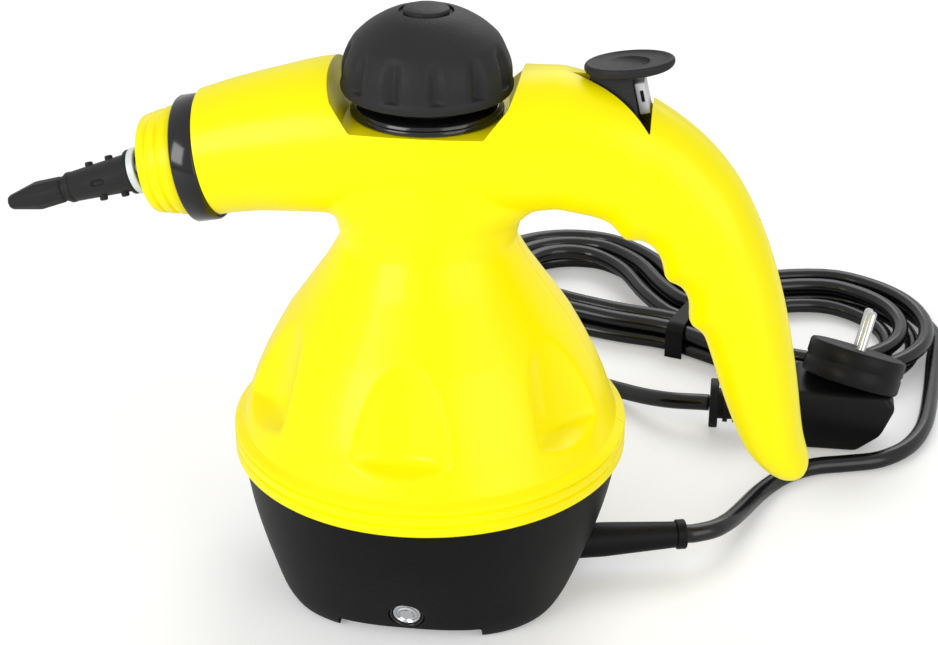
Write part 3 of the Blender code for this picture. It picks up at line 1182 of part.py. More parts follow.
def loop_point(place, spread):
    """A point of one loop in the hank's own plane, pushed outwards by a number of loops.

    place runs once round from the middle of the right fold: fold, back run, fold, front run.
    """
    u = (place * HANK_POINTS_PER_LOOP + HANK_FOLD_POINTS / 2) % HANK_POINTS_PER_LOOP
    half = HANK_POINTS_PER_LOOP / 2
    back, u = u < half, u % half
    if u < HANK_FOLD_POINTS:
        angle = math.pi * (u / HANK_FOLD_POINTS - 0.5)
        run, fold, step = ((HANK_RIGHT_RUN, HANK_RIGHT_FOLD_RADIUS, HANK_RIGHT_STEP) if back
                           else (HANK_LEFT_RUN, HANK_LEFT_FOLD_RADIUS, HANK_LEFT_STEP))
        side = 1 if back else -1
        radius = fold + spread * step
        return side * (run + radius * math.cos(angle)), side * radius * math.sin(angle)
    share = (u - HANK_FOLD_POINTS) / (half - HANK_FOLD_POINTS)
    length = HANK_RIGHT_RUN + HANK_LEFT_RUN
    along = HANK_RIGHT_RUN - share * length if back else share * length - HANK_LEFT_RUN
    side = 1 if back else -1
    width, slope = waist_width(along)
    push = spread * waist_step(along) / math.hypot(1, slope)
    return along - slope * push, side * (width + push)


def bent(along, across):
    """Place a point of the hank's plane on its axis, which bends at the waist."""
    radius = HANK_BEND_LENGTH / HANK_BEND
    middle = Vector(HANK_WAIST)
    center = middle + radius * Vector((-math.sin(HANK_WAIST_HEADING), math.cos(HANK_WAIST_HEADING)))
    reach = max(-HANK_BEND_LENGTH / 2, min(HANK_BEND_LENGTH / 2, along))
    heading = HANK_WAIST_HEADING + reach / radius
    ahead = Vector((math.cos(heading), math.sin(heading)))
    left = Vector((-ahead.y, ahead.x))
    return center - left * radius + ahead * (along - reach) + left * across, ahead, left


def hank_point(turn):
    """The cord's centre after a number of turns: in on the lower layer, out on the upper."""
    middle = HANK_LOOPS / 2
    spread = abs(turn - middle)
    layer = CORD_DIAMETER + HANK_LAYER_GAP
    climb = max(0, min(1, (turn - middle) / HANK_CLIMB + 0.5))
    flat, _, _ = bent(*loop_point(turn, spread))
    return Vector((flat.x, flat.y, CORD_HEIGHT + layer * climb * climb * (3 - 2 * climb)))


def hank_path():
    """The whole hank, with its straight ends."""
    count = round(HANK_LOOPS * HANK_POINTS_PER_LOOP)
    points = [hank_point(i / HANK_POINTS_PER_LOOP) for i in range(count + 1)]
    right = bent(HANK_RIGHT_RUN, 0)[2]
    left = bent(-HANK_LEFT_RUN, 0)[2]
    first = points[0] - Vector((*right, 0)) * CORD_DIAMETER
    last = points[-1] - Vector((*left, 0)) * CORD_DIAMETER
    return [first] + points + [last], Vector((*right, 0)), Vector((*left, 0))


def least_gap(points, diameter):
    """Smallest gap of a tube to itself, between places that aren't neighbours along it."""
    fine = evenly_spaced(points, diameter / 3)
    least = math.inf
    for i, a in enumerate(fine):
        for b in fine[i + 8:]:
            least = min(least, (a - b).length)
    return least - diameter


def free_stretch(start, ahead, route, end, onward):
    """Centre line of a free stretch of cord, with a short straight piece at both ends."""
    straight = CORD_DIAMETER / 2
    knots = [start + ahead * straight] + list(route) + [end - onward * straight]
    return [start] + evenly_spaced(spline_points(knots, 8), CORD_POINT_SPACING) + [end]


def make_cord():
    """Lead, hank, tie and tail of the mains cord, from the boot to the plug."""
    hank, right, left = hank_path()
    tube("cord_hank", hank, CORD_DIAMETER / 2, "cord_black", 1)
    print("cord_hank: least gap to itself %.2f mm" % (1000 * least_gap(hank, CORD_DIAMETER)))
    start = boot_point(BOOT_OUTSIDE + SEAM)
    lead = free_stretch(start, BOOT_AXIS, LEAD_ROUTE, hank[0] - right * SEAM, right)
    tube("cord_lead", lead, CORD_DIAMETER / 2, "cord_black")
    end = Vector((PLUG_BOOT_START - SEAM, PLUG_CENTER[1], PLUG_CABLE_HEIGHT))
    tail = free_stretch(hank[-1] - left * SEAM, -left, TAIL_ROUTE, end, Vector((1, 0, 0)))
    tube("cord_tail", tail, CORD_DIAMETER / 2, "cord_black")
    total = sum((b - a).length for path in (hank, lead, tail) for a, b in zip(path, path[1:]))
    print("cord: %.2f m in all" % total)
    make_tie(hank)


def waist_reach(hank):
    """How far the hank's strands reach from its axis, to the front and the back, under the tie."""
    middle, ahead, left = bent(0, 0)
    across = []
    for a, b in zip(hank, hank[1:]):
        near, far = ((point.xy - middle).dot(ahead) for point in (a, b))
        for edge in (-TIE_WIDTH / 2, TIE_WIDTH / 2):
            if (near - edge) * (far - edge) < 0:
                crossing = a.lerp(b, (edge - near) / (far - near))
                across.append((crossing.xy - middle).dot(left))
    return CORD_DIAMETER / 2 - min(across), CORD_DIAMETER / 2 + max(across)


def make_tie(hank):
    """The flat tie round the hank's waist, over its top and down both sides to the floor."""
    front, back = waist_reach(hank)
    top = CORD_HEIGHT + CORD_DIAMETER * 1.5 + HANK_LAYER_GAP
    outline = []
    for grow, direction in ((TIE_CLEARANCE + TIE_THICKNESS, 1), (TIE_CLEARANCE, -1)):
        corner = TIE_BEND_RADIUS if direction > 0 else TIE_BEND_RADIUS - TIE_THICKNESS
        side = [(-front - grow, 0)]
        for y, sign, first in ((-front - grow + corner, -1, math.pi), (back + grow - corner, 1, math.pi / 2)):
            for step in range(TIE_CORNER_STEPS + 1):
                angle = first - math.pi / 2 * step / TIE_CORNER_STEPS
                side.append((y + corner * math.cos(angle), top + grow - corner + corner * math.sin(angle)))
        side.append((back + grow, 0))
        outline += side[::direction]
    rings = []
    for along in (-TIE_WIDTH / 2, TIE_WIDTH / 2):
        rings.append([Vector((*bent(along, across)[0], height)) for across, height in outline])
    add_object("cord_tie", skin("cord_tie", rings), "matt_black")


def make_plug():
    """Round right-angle plug: a leaning disc on a block, two pins and a ribbed boot."""
    lean = Vector((0, math.sin(PLUG_LEAN), math.cos(PLUG_LEAN)))
    half, edge = PLUG_FACE_THICKNESS / 2, PLUG_ROUNDING
    radius = PLUG_FACE_RADIUS
    body = turned("plug_body", [
        (0, half), (radius - edge, half), (radius, half - edge), (radius, edge / 2),
        (radius - edge / 2, 0), (radius, -edge / 2), (radius, edge - half), (radius - edge, -half), (0, -half)],
        "satin_black", location=PLUG_CENTER, axis=lean, steps=INNER_STEPS, closed=False)
    center_x = PLUG_BOOT_START + PLUG_CABLE_LENGTH + PLUG_BLOCK_LENGTH / 2
    block = box("plug_block", (PLUG_BLOCK_LENGTH, PLUG_BLOCK_DEPTH, PLUG_BLOCK_HEIGHT),
                location=(center_x, PLUG_CENTER[1], PLUG_BLOCK_HEIGHT / 2))
    combine(body, round_edges(block, 3 * PLUG_ROUNDING, 3), "UNION")
    across = lean.cross(Vector((1, 0, 0)))
    for side in (-1, 1):
        notch = box("earth_notch_%d" % (side + 1), (2 * EARTH_CLIP_DEPTH, EARTH_CLIP_WIDTH, PLUG_FACE_THICKNESS),
                    location=Vector(PLUG_CENTER) + Vector((side * radius, 0, 0)) + lean * half, axis=lean)
        combine(body, notch)
        place = Vector(PLUG_CENTER) + lean * (half + SEAM) + across * (side * PIN_SPACING / 2)
        turned("plug_pin_near" if side > 0 else "plug_pin_far", [
            (0, PIN_LENGTH), (PIN_RADIUS / 2, PIN_LENGTH), (PIN_RADIUS, PIN_LENGTH - PIN_RADIUS / 2),
            (PIN_RADIUS, 0), (0, 0)], "steel", location=place, axis=lean, steps=16, closed=False)
    make_plug_boot()


def make_plug_boot():
    """Ribbed sleeve where the cord enters the plug."""
    length = PLUG_CABLE_LENGTH - SEAM
    profile = [(0, length), (PLUG_BOOT_RADIUS, length)]
    rib_space = length * PLUG_RIBS_SHARE / PLUG_BOOT_RIBS
    for i in reversed(range(PLUG_BOOT_RIBS)):
        low = PLUG_BOOT_FLANGE + rib_space * (i + 0.5)
        profile += [(PLUG_BOOT_RADIUS, low + rib_space / 2), (PLUG_BOOT_RADIUS + PLUG_BOOT_RIB_HEIGHT, low + rib_space / 2),
                    (PLUG_BOOT_RADIUS + PLUG_BOOT_RIB_HEIGHT, low), (PLUG_BOOT_RADIUS, low)]
    profile += [(PLUG_BOOT_RADIUS, PLUG_BOOT_FLANGE), (PLUG_BOOT_FLANGE_RADIUS, PLUG_BOOT_FLANGE),
                (PLUG_BOOT_FLANGE_RADIUS, 0), (0, 0)]
    turned("plug_boot", profile, "satin_black",
           location=(PLUG_BOOT_START, PLUG_CENTER[1], PLUG_CABLE_HEIGHT), axis=(1, 0, 0),
           steps=SMALL_STEPS, closed=False)


def make_base_screws():
    """Screws from the recessed feet through the posts into the boiler's bracket."""
    head = SCREW_RECESS - SEAM
    end = POST_TOP + SEAM + BRACKET_THICKNESS + SCREW_RADIUS
    for i, (x, y, _) in enumerate(around(4, POST_CIRCLE, math.pi / 4)):
        turned("base_screw_%d" % (i + 1), [
            (0, end), (SCREW_RADIUS, end), (SCREW_RADIUS, head), (SCREW_HEAD_RADIUS, head),
            (SCREW_HEAD_RADIUS, head - SCREW_HEAD_HEIGHT), (0, head - SCREW_HEAD_HEIGHT)],
            "steel", location=(x, y, 0), steps=SCREW_STEPS, closed=False)


make_body_shells()
make_base()
make_spout_rings()
make_nozzle()
make_cap()
make_filler_collar()
make_boiler()
make_heating()
make_indicator()
make_trigger()
make_valve()
make_boot()
make_cord()
make_plug()
make_base_screws()
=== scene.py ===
import json
import math

import bmesh
import bpy
from mathutils import Matrix, Vector


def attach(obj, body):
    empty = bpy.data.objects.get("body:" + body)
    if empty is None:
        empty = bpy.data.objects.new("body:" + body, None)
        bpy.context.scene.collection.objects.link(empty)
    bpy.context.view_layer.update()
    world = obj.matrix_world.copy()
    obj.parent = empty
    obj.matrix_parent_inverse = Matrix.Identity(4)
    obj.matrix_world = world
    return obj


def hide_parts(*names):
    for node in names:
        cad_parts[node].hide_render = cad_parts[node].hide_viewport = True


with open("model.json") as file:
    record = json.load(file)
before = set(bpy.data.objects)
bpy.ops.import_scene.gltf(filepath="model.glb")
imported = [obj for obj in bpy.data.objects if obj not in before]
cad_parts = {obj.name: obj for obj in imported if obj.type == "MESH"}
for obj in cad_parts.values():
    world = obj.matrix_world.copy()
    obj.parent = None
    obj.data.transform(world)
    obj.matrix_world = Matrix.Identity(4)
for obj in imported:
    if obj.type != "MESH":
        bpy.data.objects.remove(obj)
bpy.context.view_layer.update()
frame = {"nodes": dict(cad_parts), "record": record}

# Distances are in millimetres from the base's axis; MM and AXIS_X bring them to the frame's metres.
MM = 0.001
AXIS_X = 9.044


def at(x, y, z):
    return Vector(((x + AXIS_X) * MM, y * MM, z * MM))


# Camera, floor and light.  The floor's size and the lamps' places and sizes are in metres.
CAMERA_PLACE = (99.30, -608.70, 404.4)
CAMERA_TILT, CAMERA_TURN = math.radians(63.43), math.radians(8)
CAMERA_LENS, CAMERA_SENSOR = 76.76, 36
CAMERA_NEAR = 0.01
FLOOR_SIZE, FLOOR_DROP = 6, 0.0002
FLOOR_TONE, FLOOR_ROUGHNESS, FLOOR_GLOW = 0.80, 0.6, 0.28
WORLD_LIGHT, WORLD_SEEN = 0.5, 1.0
LAMP_TARGET = Vector((0, 0, 0.1))
LAMPS = (
    # name, place, size, power
    ("key", (-0.75, -1.0, 0.62), 0.7, 9.5),
    ("fill", (0.95, -0.75, 0.5), 0.9, 5.5),
    ("rim", (0.2, 0.9, 0.9), 0.8, 5))


def set_camera():
    camera = bpy.data.objects.new("camera", bpy.data.cameras.new("camera"))
    bpy.context.scene.collection.objects.link(camera)
    camera.location = at(*CAMERA_PLACE)
    camera.rotation_euler = (CAMERA_TILT, 0, CAMERA_TURN)
    camera.data.sensor_width = CAMERA_SENSOR
    camera.data.lens = CAMERA_LENS
    camera.data.clip_start = CAMERA_NEAR
    bpy.context.scene.camera = camera


def math_node(tree, operation, *values):
    """Output of a math node.  Each value is a socket to link or a decimal number to set."""
    node = tree.nodes.new("ShaderNodeMath")
    node.operation = operation
    for socket, value in zip(node.inputs, values):
        if isinstance(value, float):
            socket.default_value = value
        else:
            tree.links.new(value, socket)
    return node.outputs[0]


def stage_material():
    """Pale floor that shows the object's shadow, and glows a little for the camera only."""
    material = bpy.data.materials.new("studio_floor")
    material.use_nodes = True
    nodes, links = material.node_tree.nodes, material.node_tree.links
    shader = nodes["Principled BSDF"]
    shader.inputs["Base Color"].default_value = (FLOOR_TONE, FLOOR_TONE, FLOOR_TONE, 1)
    shader.inputs["Roughness"].default_value = FLOOR_ROUGHNESS
    glow = nodes.new("ShaderNodeEmission")
    glow.inputs["Strength"].default_value = FLOOR_GLOW
    add = nodes.new("ShaderNodeAddShader")
    path = nodes.new("ShaderNodeLightPath")
    mix = nodes.new("ShaderNodeMixShader")
    links.new(shader.outputs[0], add.inputs[0])
    links.new(glow.outputs[0], add.inputs[1])
    links.new(path.outputs["Is Camera Ray"], mix.inputs[0])
    links.new(shader.outputs[0], mix.inputs[1])
    links.new(add.outputs[0], mix.inputs[2])
    links.new(mix.outputs[0], nodes["Material Output"].inputs[0])
    return material


def set_world():
    """Surroundings that show brighter, to the camera and in reflections, than they light."""
    world = bpy.data.worlds.new("studio")
    bpy.context.scene.world = world
    world.use_nodes = True
    nodes, links = world.node_tree.nodes, world.node_tree.links
    background = nodes["Background"]
    background.inputs["Color"].default_value = (1, 1, 1, 1)
    background.inputs["Strength"].default_value = WORLD_LIGHT
    seen = nodes.new("ShaderNodeBackground")
    seen.inputs["Strength"].default_value = WORLD_SEEN
    path = nodes.new("ShaderNodeLightPath").outputs
    direct = math_node(world.node_tree, "MAXIMUM", path["Is Camera Ray"], path["Is Transmission Ray"])
    mix = nodes.new("ShaderNodeMixShader")
    links.new(math_node(world.node_tree, "MAXIMUM", direct, path["Is Glossy Ray"]), mix.inputs[0])
    links.new(background.outputs[0], mix.inputs[1])
    links.new(seen.outputs[0], mix.inputs[2])
    links.new(mix.outputs[0], nodes["World Output"].inputs[0])


def set_stage():
    bpy.ops.mesh.primitive_plane_add(size=FLOOR_SIZE, location=(0, 0, -FLOOR_DROP))
    floor = bpy.context.object
    floor.name = "studio_floor"
    floor.data.materials.append(stage_material())
    set_world()
    for name, place, size, power in LAMPS:
        lamp = bpy.data.lights.new(name, "AREA")
        lamp.size = size
        lamp.energy = power
        item = bpy.data.objects.new(name, lamp)
        bpy.context.scene.collection.objects.link(item)
        item.location = place
        item.rotation_euler = (LAMP_TARGET - item.location).to_track_quat("-Z", "Y").to_euler()
    bpy.context.scene.view_settings.view_transform = "Standard"


# Finishes
PATCHES_PER_METRE, PATCH_DETAIL = 28, 3
GRAIN_DETAIL, GRAIN_STRENGTH = 2, 0.6
COAT_ROUGHNESS = 0.08
FINISHES = {
    # name: color, patch color,
    # patch amount, roughness, gloss spread, grain per metre, grain depth, metallic, coat, specular level
    "yellow_plastic": ((1.0, 0.90, 0.0), (0.99, 0.81, 0.0),
                       0.35, 0.34, 0.06, 900, 0.00003, 0, 0.05, 0.17),
    "satin_black": ((0.022, 0.022, 0.023), (0.042, 0.042, 0.044),
                    0.5, 0.42, 0.10, 1500, 0.00022, 0, 0, 0.08),
    "matt_black": ((0.003, 0.003, 0.004), (0.010, 0.010, 0.011),
                   0.5, 0.44, 0.10, 1300, 0.00014, 0, 0, 0.14),
    "plug_black": ((0.005, 0.005, 0.006), (0.011, 0.011, 0.012),
                   0.5, 0.42, 0.10, 1200, 0.00010, 0, 0, 0.15),
    "gloss_black": ((0.004, 0.004, 0.005), (0.009, 0.009, 0.010),
                    0.4, 0.16, 0.05, 300, 0.00002, 0, 0.15, 0.42),
    "cord_black": ((0.003, 0.003, 0.004), (0.008, 0.008, 0.009),
                   0.5, 0.24, 0.10, 500, 0.00008, 0, 0.15, 0.35),
    "white_seal": ((0.74, 0.80, 0.86), (0.66, 0.72, 0.80),
                   0.5, 0.40, 0.08, 900, 0.00003, 0, 0, 0.5),
    "grey_plastic": ((0.60, 0.61, 0.63), (0.50, 0.51, 0.53),
                     0.4, 0.38, 0.08, 900, 0.00003, 0, 0, 0.5),
    "aluminium": ((0.80, 0.81, 0.82), (0.62, 0.63, 0.65),
                  0.6, 0.38, 0.20, 700, 0.00006, 1, 0, 0.5),
    "steel": ((0.66, 0.67, 0.69), (0.52, 0.53, 0.55),
              0.5, 0.26, 0.14, 900, 0.00003, 1, 0, 0.5),
    "brass": ((0.76, 0.57, 0.24), (0.58, 0.41, 0.16),
              0.6, 0.34, 0.16, 800, 0.00004, 1, 0, 0.5),
    "red_rubber": ((0.42, 0.06, 0.04), (0.30, 0.04, 0.03),
                   0.5, 0.60, 0.10, 900, 0.00005, 0, 0, 0.5),
    "clear_lens": ((0.80, 0.82, 0.84), (0.62, 0.64, 0.66),
                   0.5, 0.12, 0.06, 500, 0.00002, 1, 0.5, 0.5),
}


def skin_group():
    """Moulded surface: soft patches in tone and gloss, and a fine grain."""
    group = bpy.data.node_groups.new("moulded_skin", "ShaderNodeTree")
    for name, kind in (("Vector", "NodeSocketVector"), ("Color", "NodeSocketColor"),
                       ("Patch Color", "NodeSocketColor"), ("Patch Amount", "NodeSocketFloat"),
                       ("Roughness", "NodeSocketFloat"), ("Gloss Spread", "NodeSocketFloat"),
                       ("Grain Scale", "NodeSocketFloat")):
        group.interface.new_socket(name=name, in_out="INPUT", socket_type=kind)
    for name, kind in (("Color", "NodeSocketColor"), ("Roughness", "NodeSocketFloat"),
                       ("Height", "NodeSocketFloat")):
        group.interface.new_socket(name=name, in_out="OUTPUT", socket_type=kind)
    nodes, links = group.nodes, group.links
    inside = nodes.new("NodeGroupInput").outputs
    outside = nodes.new("NodeGroupOutput").inputs
    patches = nodes.new("ShaderNodeTexNoise")
    patches.inputs["Scale"].default_value = PATCHES_PER_METRE
    patches.inputs["Detail"].default_value = PATCH_DETAIL
    grain = nodes.new("ShaderNodeTexNoise")
    grain.inputs["Detail"].default_value = GRAIN_DETAIL
    for texture in (patches, grain):
        links.new(inside["Vector"], texture.inputs["Vector"])
    links.new(inside["Grain Scale"], grain.inputs["Scale"])
    patch = patches.outputs["Fac"]
    # A colour mix has its factor at input 0, its colours at 6 and 7, and its result at output 2.
    tone = nodes.new("ShaderNodeMix")
    tone.data_type = "RGBA"
    links.new(math_node(group, "MULTIPLY", patch, inside["Patch Amount"]), tone.inputs[0])
    links.new(inside["Color"], tone.inputs[6])
    links.new(inside["Patch Color"], tone.inputs[7])
    centred = math_node(group, "SUBTRACT", patch, 0.5)
    gloss = math_node(group, "MULTIPLY_ADD", centred, inside["Gloss Spread"], inside["Roughness"])
    links.new(tone.outputs[2], outside["Color"])
    links.new(gloss, outside["Roughness"])
    links.new(grain.outputs["Fac"], outside["Height"])
    return group


SKIN = skin_group()


def make_material(name):
    color, patch, amount, rough, spread, grain, depth, metallic, coat, specular = FINISHES[name]
    material = bpy.data.materials.new(name)
    material.use_nodes = True
    nodes, links = material.node_tree.nodes, material.node_tree.links
    shader = nodes["Principled BSDF"]
    place = nodes.new("ShaderNodeTexCoord")
    skin = nodes.new("ShaderNodeGroup")
    skin.node_tree = SKIN
    skin.inputs["Color"].default_value = (*color, 1)
    skin.inputs["Patch Color"].default_value = (*patch, 1)
    skin.inputs["Patch Amount"].default_value = amount
    skin.inputs["Roughness"].default_value = rough
    skin.inputs["Gloss Spread"].default_value = spread
    skin.inputs["Grain Scale"].default_value = grain
    bump = nodes.new("ShaderNodeBump")
    bump.inputs["Distance"].default_value = depth
    bump.inputs["Strength"].default_value = GRAIN_STRENGTH
    links.new(place.outputs["Object"], skin.inputs["Vector"])
    links.new(skin.outputs["Color"], shader.inputs["Base Color"])
    links.new(skin.outputs["Roughness"], shader.inputs["Roughness"])
    links.new(skin.outputs["Height"], bump.inputs["Height"])
    links.new(bump.outputs[0], shader.inputs["Normal"])
    shader.inputs["Metallic"].default_value = metallic
    shader.inputs["Coat Weight"].default_value = coat
    shader.inputs["Specular IOR Level"].default_value = specular
    shader.inputs["Coat Roughness"].default_value = COAT_ROUGHNESS
    return material


MATERIALS = {name: make_material(name) for name in FINISHES}
SLOT_OF = {row["node"]: row["material_slot"] for row in frame["record"]["subparts"]}
BODY_OF = {node: body for body, nodes in frame["record"]["behaviour"]["bodies"].items() for node in nodes}


def dress_nodes():
    """Every node of the frame gets the finish of its slot."""
    for name, item in frame["nodes"].items():
        item.data.materials.clear()
        item.data.materials.append(MATERIALS[SLOT_OF[name]])


# Ways of making a piece
MERGE_DISTANCE = 0.0001
TO_SIDE = (0, 1, 0)


def deselect():
    if bpy.context.object and bpy.context.object.mode != "OBJECT":
        bpy.ops.object.mode_set(mode="OBJECT")
    bpy.ops.object.select_all(action="DESELECT")


def pick(item):
    deselect()
    item.select_set(True)
    bpy.context.view_layer.objects.active = item


def named(name):
    item = bpy.context.object
    item.name = name
    item.data.name = name
    return item


def modify(item, kind, **settings):
    modifier = item.modifiers.new(kind.lower(), kind)
    for key, value in settings.items():
        setattr(modifier, key, value)
    pick(item)
    bpy.ops.object.modifier_apply(modifier=modifier.name)
    return item


def bevelled(item, width, segments=3, angle=30):
    """Round the edges that turn by more than an angle in degrees."""
    return modify(item, "BEVEL", width=width, segments=segments, limit_method="ANGLE",
                  angle_limit=math.radians(angle))


def cut(item, tool, operation="DIFFERENCE"):
    modify(item, "BOOLEAN", operation=operation, object=tool, solver="MANIFOLD")
    bpy.data.objects.remove(tool)
    return item


def fuse(item, tool):
    return cut(item, tool, "UNION")


def turned(name, rows, steps=96, filled=True):
    """A circle extruded through rows of (radius, height).  Not filled, the last row meets the first."""
    deselect()
    rows = list(rows)
    radius, height = rows[0]
    bpy.ops.mesh.primitive_circle_add(vertices=steps, radius=radius, location=(0, 0, height),
                                      fill_type="NGON" if filled else "NOTHING", enter_editmode=True)
    for wide, high in rows[1:] + ([] if filled else rows[:1]):
        bpy.ops.mesh.extrude_region_move(TRANSFORM_OT_translate={"value": (0, 0, high - height)})
        bpy.ops.transform.resize(value=(wide / radius, wide / radius, 1), center_override=(0, 0, high))
        radius, height = wide, high
    bpy.ops.mesh.select_all(action="SELECT")
    bpy.ops.mesh.remove_doubles(threshold=MERGE_DISTANCE)
    bpy.ops.mesh.normals_make_consistent(inside=False)
    bpy.ops.object.mode_set(mode="OBJECT")
    bpy.ops.object.transform_apply()
    return named(name)


def rod(name, radius, low, high, steps=96):
    return turned(name, [(radius, low), (radius, high)], steps)


def block(name, size, place=(0, 0, 0), bevel=0.0, segments=3):
    deselect()
    bpy.ops.mesh.primitive_cube_add(size=1, location=place)
    bpy.ops.transform.resize(value=size, center_override=place)
    bpy.ops.object.transform_apply()
    item = named(name)
    return bevelled(item, bevel, segments) if bevel else item


def lofted(name, rings):
    """A skin over a row of rings with equal point counts, closed at both ends."""
    bm = bmesh.new()
    loops = [[bm.verts.new(point) for point in ring] for ring in rings]
    for first, second in zip(loops, loops[1:]):
        for i, corner in enumerate(first):
            j = (i + 1) % len(first)
            bm.faces.new((corner, first[j], second[j], second[i]))
    bm.faces.new(reversed(loops[0]))
    bm.faces.new(loops[-1])
    bmesh.ops.recalc_face_normals(bm, faces=bm.faces)
    mesh = bpy.data.meshes.new(name)
    bm.to_mesh(mesh)
    bm.free()
    item = bpy.data.objects.new(name, mesh)
    bpy.context.scene.collection.objects.link(item)
    return item


def superellipse(wide, high, exponent, sides):
    points = []
    for i in range(sides):
        angle = math.tau * i / sides
        c, s = math.cos(angle), math.sin(angle)
        points.append((wide * math.copysign(abs(c) ** (2 / exponent), c),
                       high * math.copysign(abs(s) ** (2 / exponent), s)))
    return points


def flat_ring(height, wide, deep, exponent, sides):
    return [Vector((x, y, height)) for x, y in superellipse(wide, deep, exponent, sides)]


def round_ring(height, radius, exponent, sides):
    return flat_ring(height, radius, radius, exponent, sides)


def four_corners(height, left, right, left_deep, right_deep, middle=0):
    """A level ring with four corners, from its left and right edges and their half depths."""
    return [Vector((left, middle - left_deep, height)), Vector((right, middle - right_deep, height)),
            Vector((right, middle + right_deep, height)), Vector((left, middle + left_deep, height))]


def spline_points(knots, between):
    """Points of a smooth curve through knots (Catmull-Rom), ends included."""
    knots = [Vector(knot) for knot in knots]
    padded = [2 * knots[0] - knots[1], *knots, 2 * knots[-1] - knots[-2]]
    points = []
    for a, b, c, d in zip(padded, padded[1:], padded[2:], padded[3:]):
        for step in range(between):
            t = step / between
            points.append(0.5 * (2 * b + (c - a) * t + (2 * a - 5 * b + 4 * c - d) * t ** 2
                                 + (3 * b - a - 3 * c + d) * t ** 3))
    return points + [knots[-1]]


def moved(item, matrix):
    item.data.transform(matrix)
    return item


def turned_to(place, axis):
    """Matrix that puts +Z at a place along an axis."""
    turn = Vector((0, 0, 1)).rotation_difference(Vector(axis))
    return Matrix.Translation(place) @ turn.to_matrix().to_4x4()


def beside_axis(turn, out, along):
    """Matrix that puts a piece off the Z axis: turned by degrees, then out and along."""
    return Matrix.Rotation(math.radians(turn), 4, "Z") @ Matrix.Translation((out, 0, along))


def finished(item, finish, *nodes, body=None, angle=35, slot=None):
    """Scale a piece to metres, dress it and let it ride in place of its nodes."""
    item.data.transform(Matrix.Scale(MM, 4) @ Matrix.Translation((AXIS_X, 0, 0)))
    pick(item)
    bpy.ops.object.shade_smooth_by_angle(angle=math.radians(angle))
    item.data.materials.clear()
    item.data.materials.append(MATERIALS[finish])
    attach(item, body or BODY_OF[nodes[0]])
    if nodes:
        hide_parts(*nodes)
    return item


# Mains cord, from the boot in the base to the plug
BOOT_SEAT = Vector((59, 0, 12.7))
BOOT_TURN = math.radians(15)
BOOT_AXIS = Vector((math.cos(BOOT_TURN), math.sin(BOOT_TURN), 0))
BOOT_REACH = 33.8
PLUG_ENTRY = Vector((96.7, 110, 12))
CORD_DIAMETER = 6.76
CORD_HEIGHT = 3.45
STRAIGHT_END = 3.4
LEAD_ROUTE = (
    (101.6, 14.2, 12.2), (106.6, 22.0, 10.9), (110.2, 31.5, 8.9), (113.6, 42.0, 6.7), (117.4, 53.0, 4.7),
    (122.6, 63.4, 3.6), (129.8, 72.6, 3.45), (139.6, 79.4, 3.45), (152.0, 83.4, 3.45), (165.0, 88.4, 3.45),
    (176.4, 100.0, 3.45), (184.0, 119.0, 3.45), (188.6, 149.0, 3.45), (191.6, 178.0, 3.45))
TAIL_ROUTE = (
    (-13.0, 236.0, 10.2), (-17.0, 213.0, 8.4), (-13.0, 188.0, 6.0), (-1.0, 166.0, 4.2), (18.0, 150.0, 3.45),
    (38.0, 140.0, 3.7), (58.0, 129.0, 5.0), (70.0, 119.5, 7.8), (81.5, 112.5, 10.5))
HANK_LOOPS = 4.5
POINTS_PER_LOOP = 24
HANK_WAIST = (86, 192)
HANK_HEADING = math.radians(-16.6)
HANK_BEND = math.radians(48.3)
HANK_BEND_LENGTH = 70
LAYER_GAP = 0.5
WAIST_HALF_WIDTH = 2.4
WAIST_STEP = 8.8
# Each end of the hank: straight run from the waist, radius of the fold, step between loops
RIGHT_END = (55, 29.0, 11.0)
LEFT_END = (68, 21.5, 8.4)
FOLD_SHARE = 7 / 24


def loop_point(place, spread):
    """A point of one loop in the hank's plane: right fold, back run, left fold, front run."""
    u = (place + FOLD_SHARE / 2) % 1
    back, u = u < 0.5, u % 0.5
    side = 1 if back else -1
    if u < FOLD_SHARE:
        angle = math.pi * (u / FOLD_SHARE - 0.5)
        run, fold, step = RIGHT_END if back else LEFT_END
        radius = fold + spread * step
        return side * (run + radius * math.cos(angle)), side * radius * math.sin(angle)
    share = (u - FOLD_SHARE) / (0.5 - FOLD_SHARE)
    length = RIGHT_END[0] + LEFT_END[0]
    along = RIGHT_END[0] - share * length if back else share * length - LEFT_END[0]
    run, fold, step = RIGHT_END if along >= 0 else LEFT_END
    swell = (fold - WAIST_HALF_WIDTH) / 2
    phase = math.pi * along / run
    width = WAIST_HALF_WIDTH + swell * (1 - math.cos(phase))
    slope = swell * math.pi / run * math.sin(phase)
    push = spread * (WAIST_STEP + (step - WAIST_STEP) * (1 - math.cos(phase)) / 2) / math.hypot(1, slope)
    return along - slope * push, side * (width + push)


def bent(along, across):
    """A place of the hank's plane on its axis, which bends at the waist, and the way to its left."""
    radius = HANK_BEND_LENGTH / HANK_BEND
    center = Vector(HANK_WAIST) + radius * Vector((-math.sin(HANK_HEADING), math.cos(HANK_HEADING)))
    reach = max(-HANK_BEND_LENGTH / 2, min(HANK_BEND_LENGTH / 2, along))
    heading = HANK_HEADING + reach / radius
    ahead = Vector((math.cos(heading), math.sin(heading)))
    left = Vector((-ahead.y, ahead.x))
    return center - left * radius + ahead * (along - reach) + left * across, left


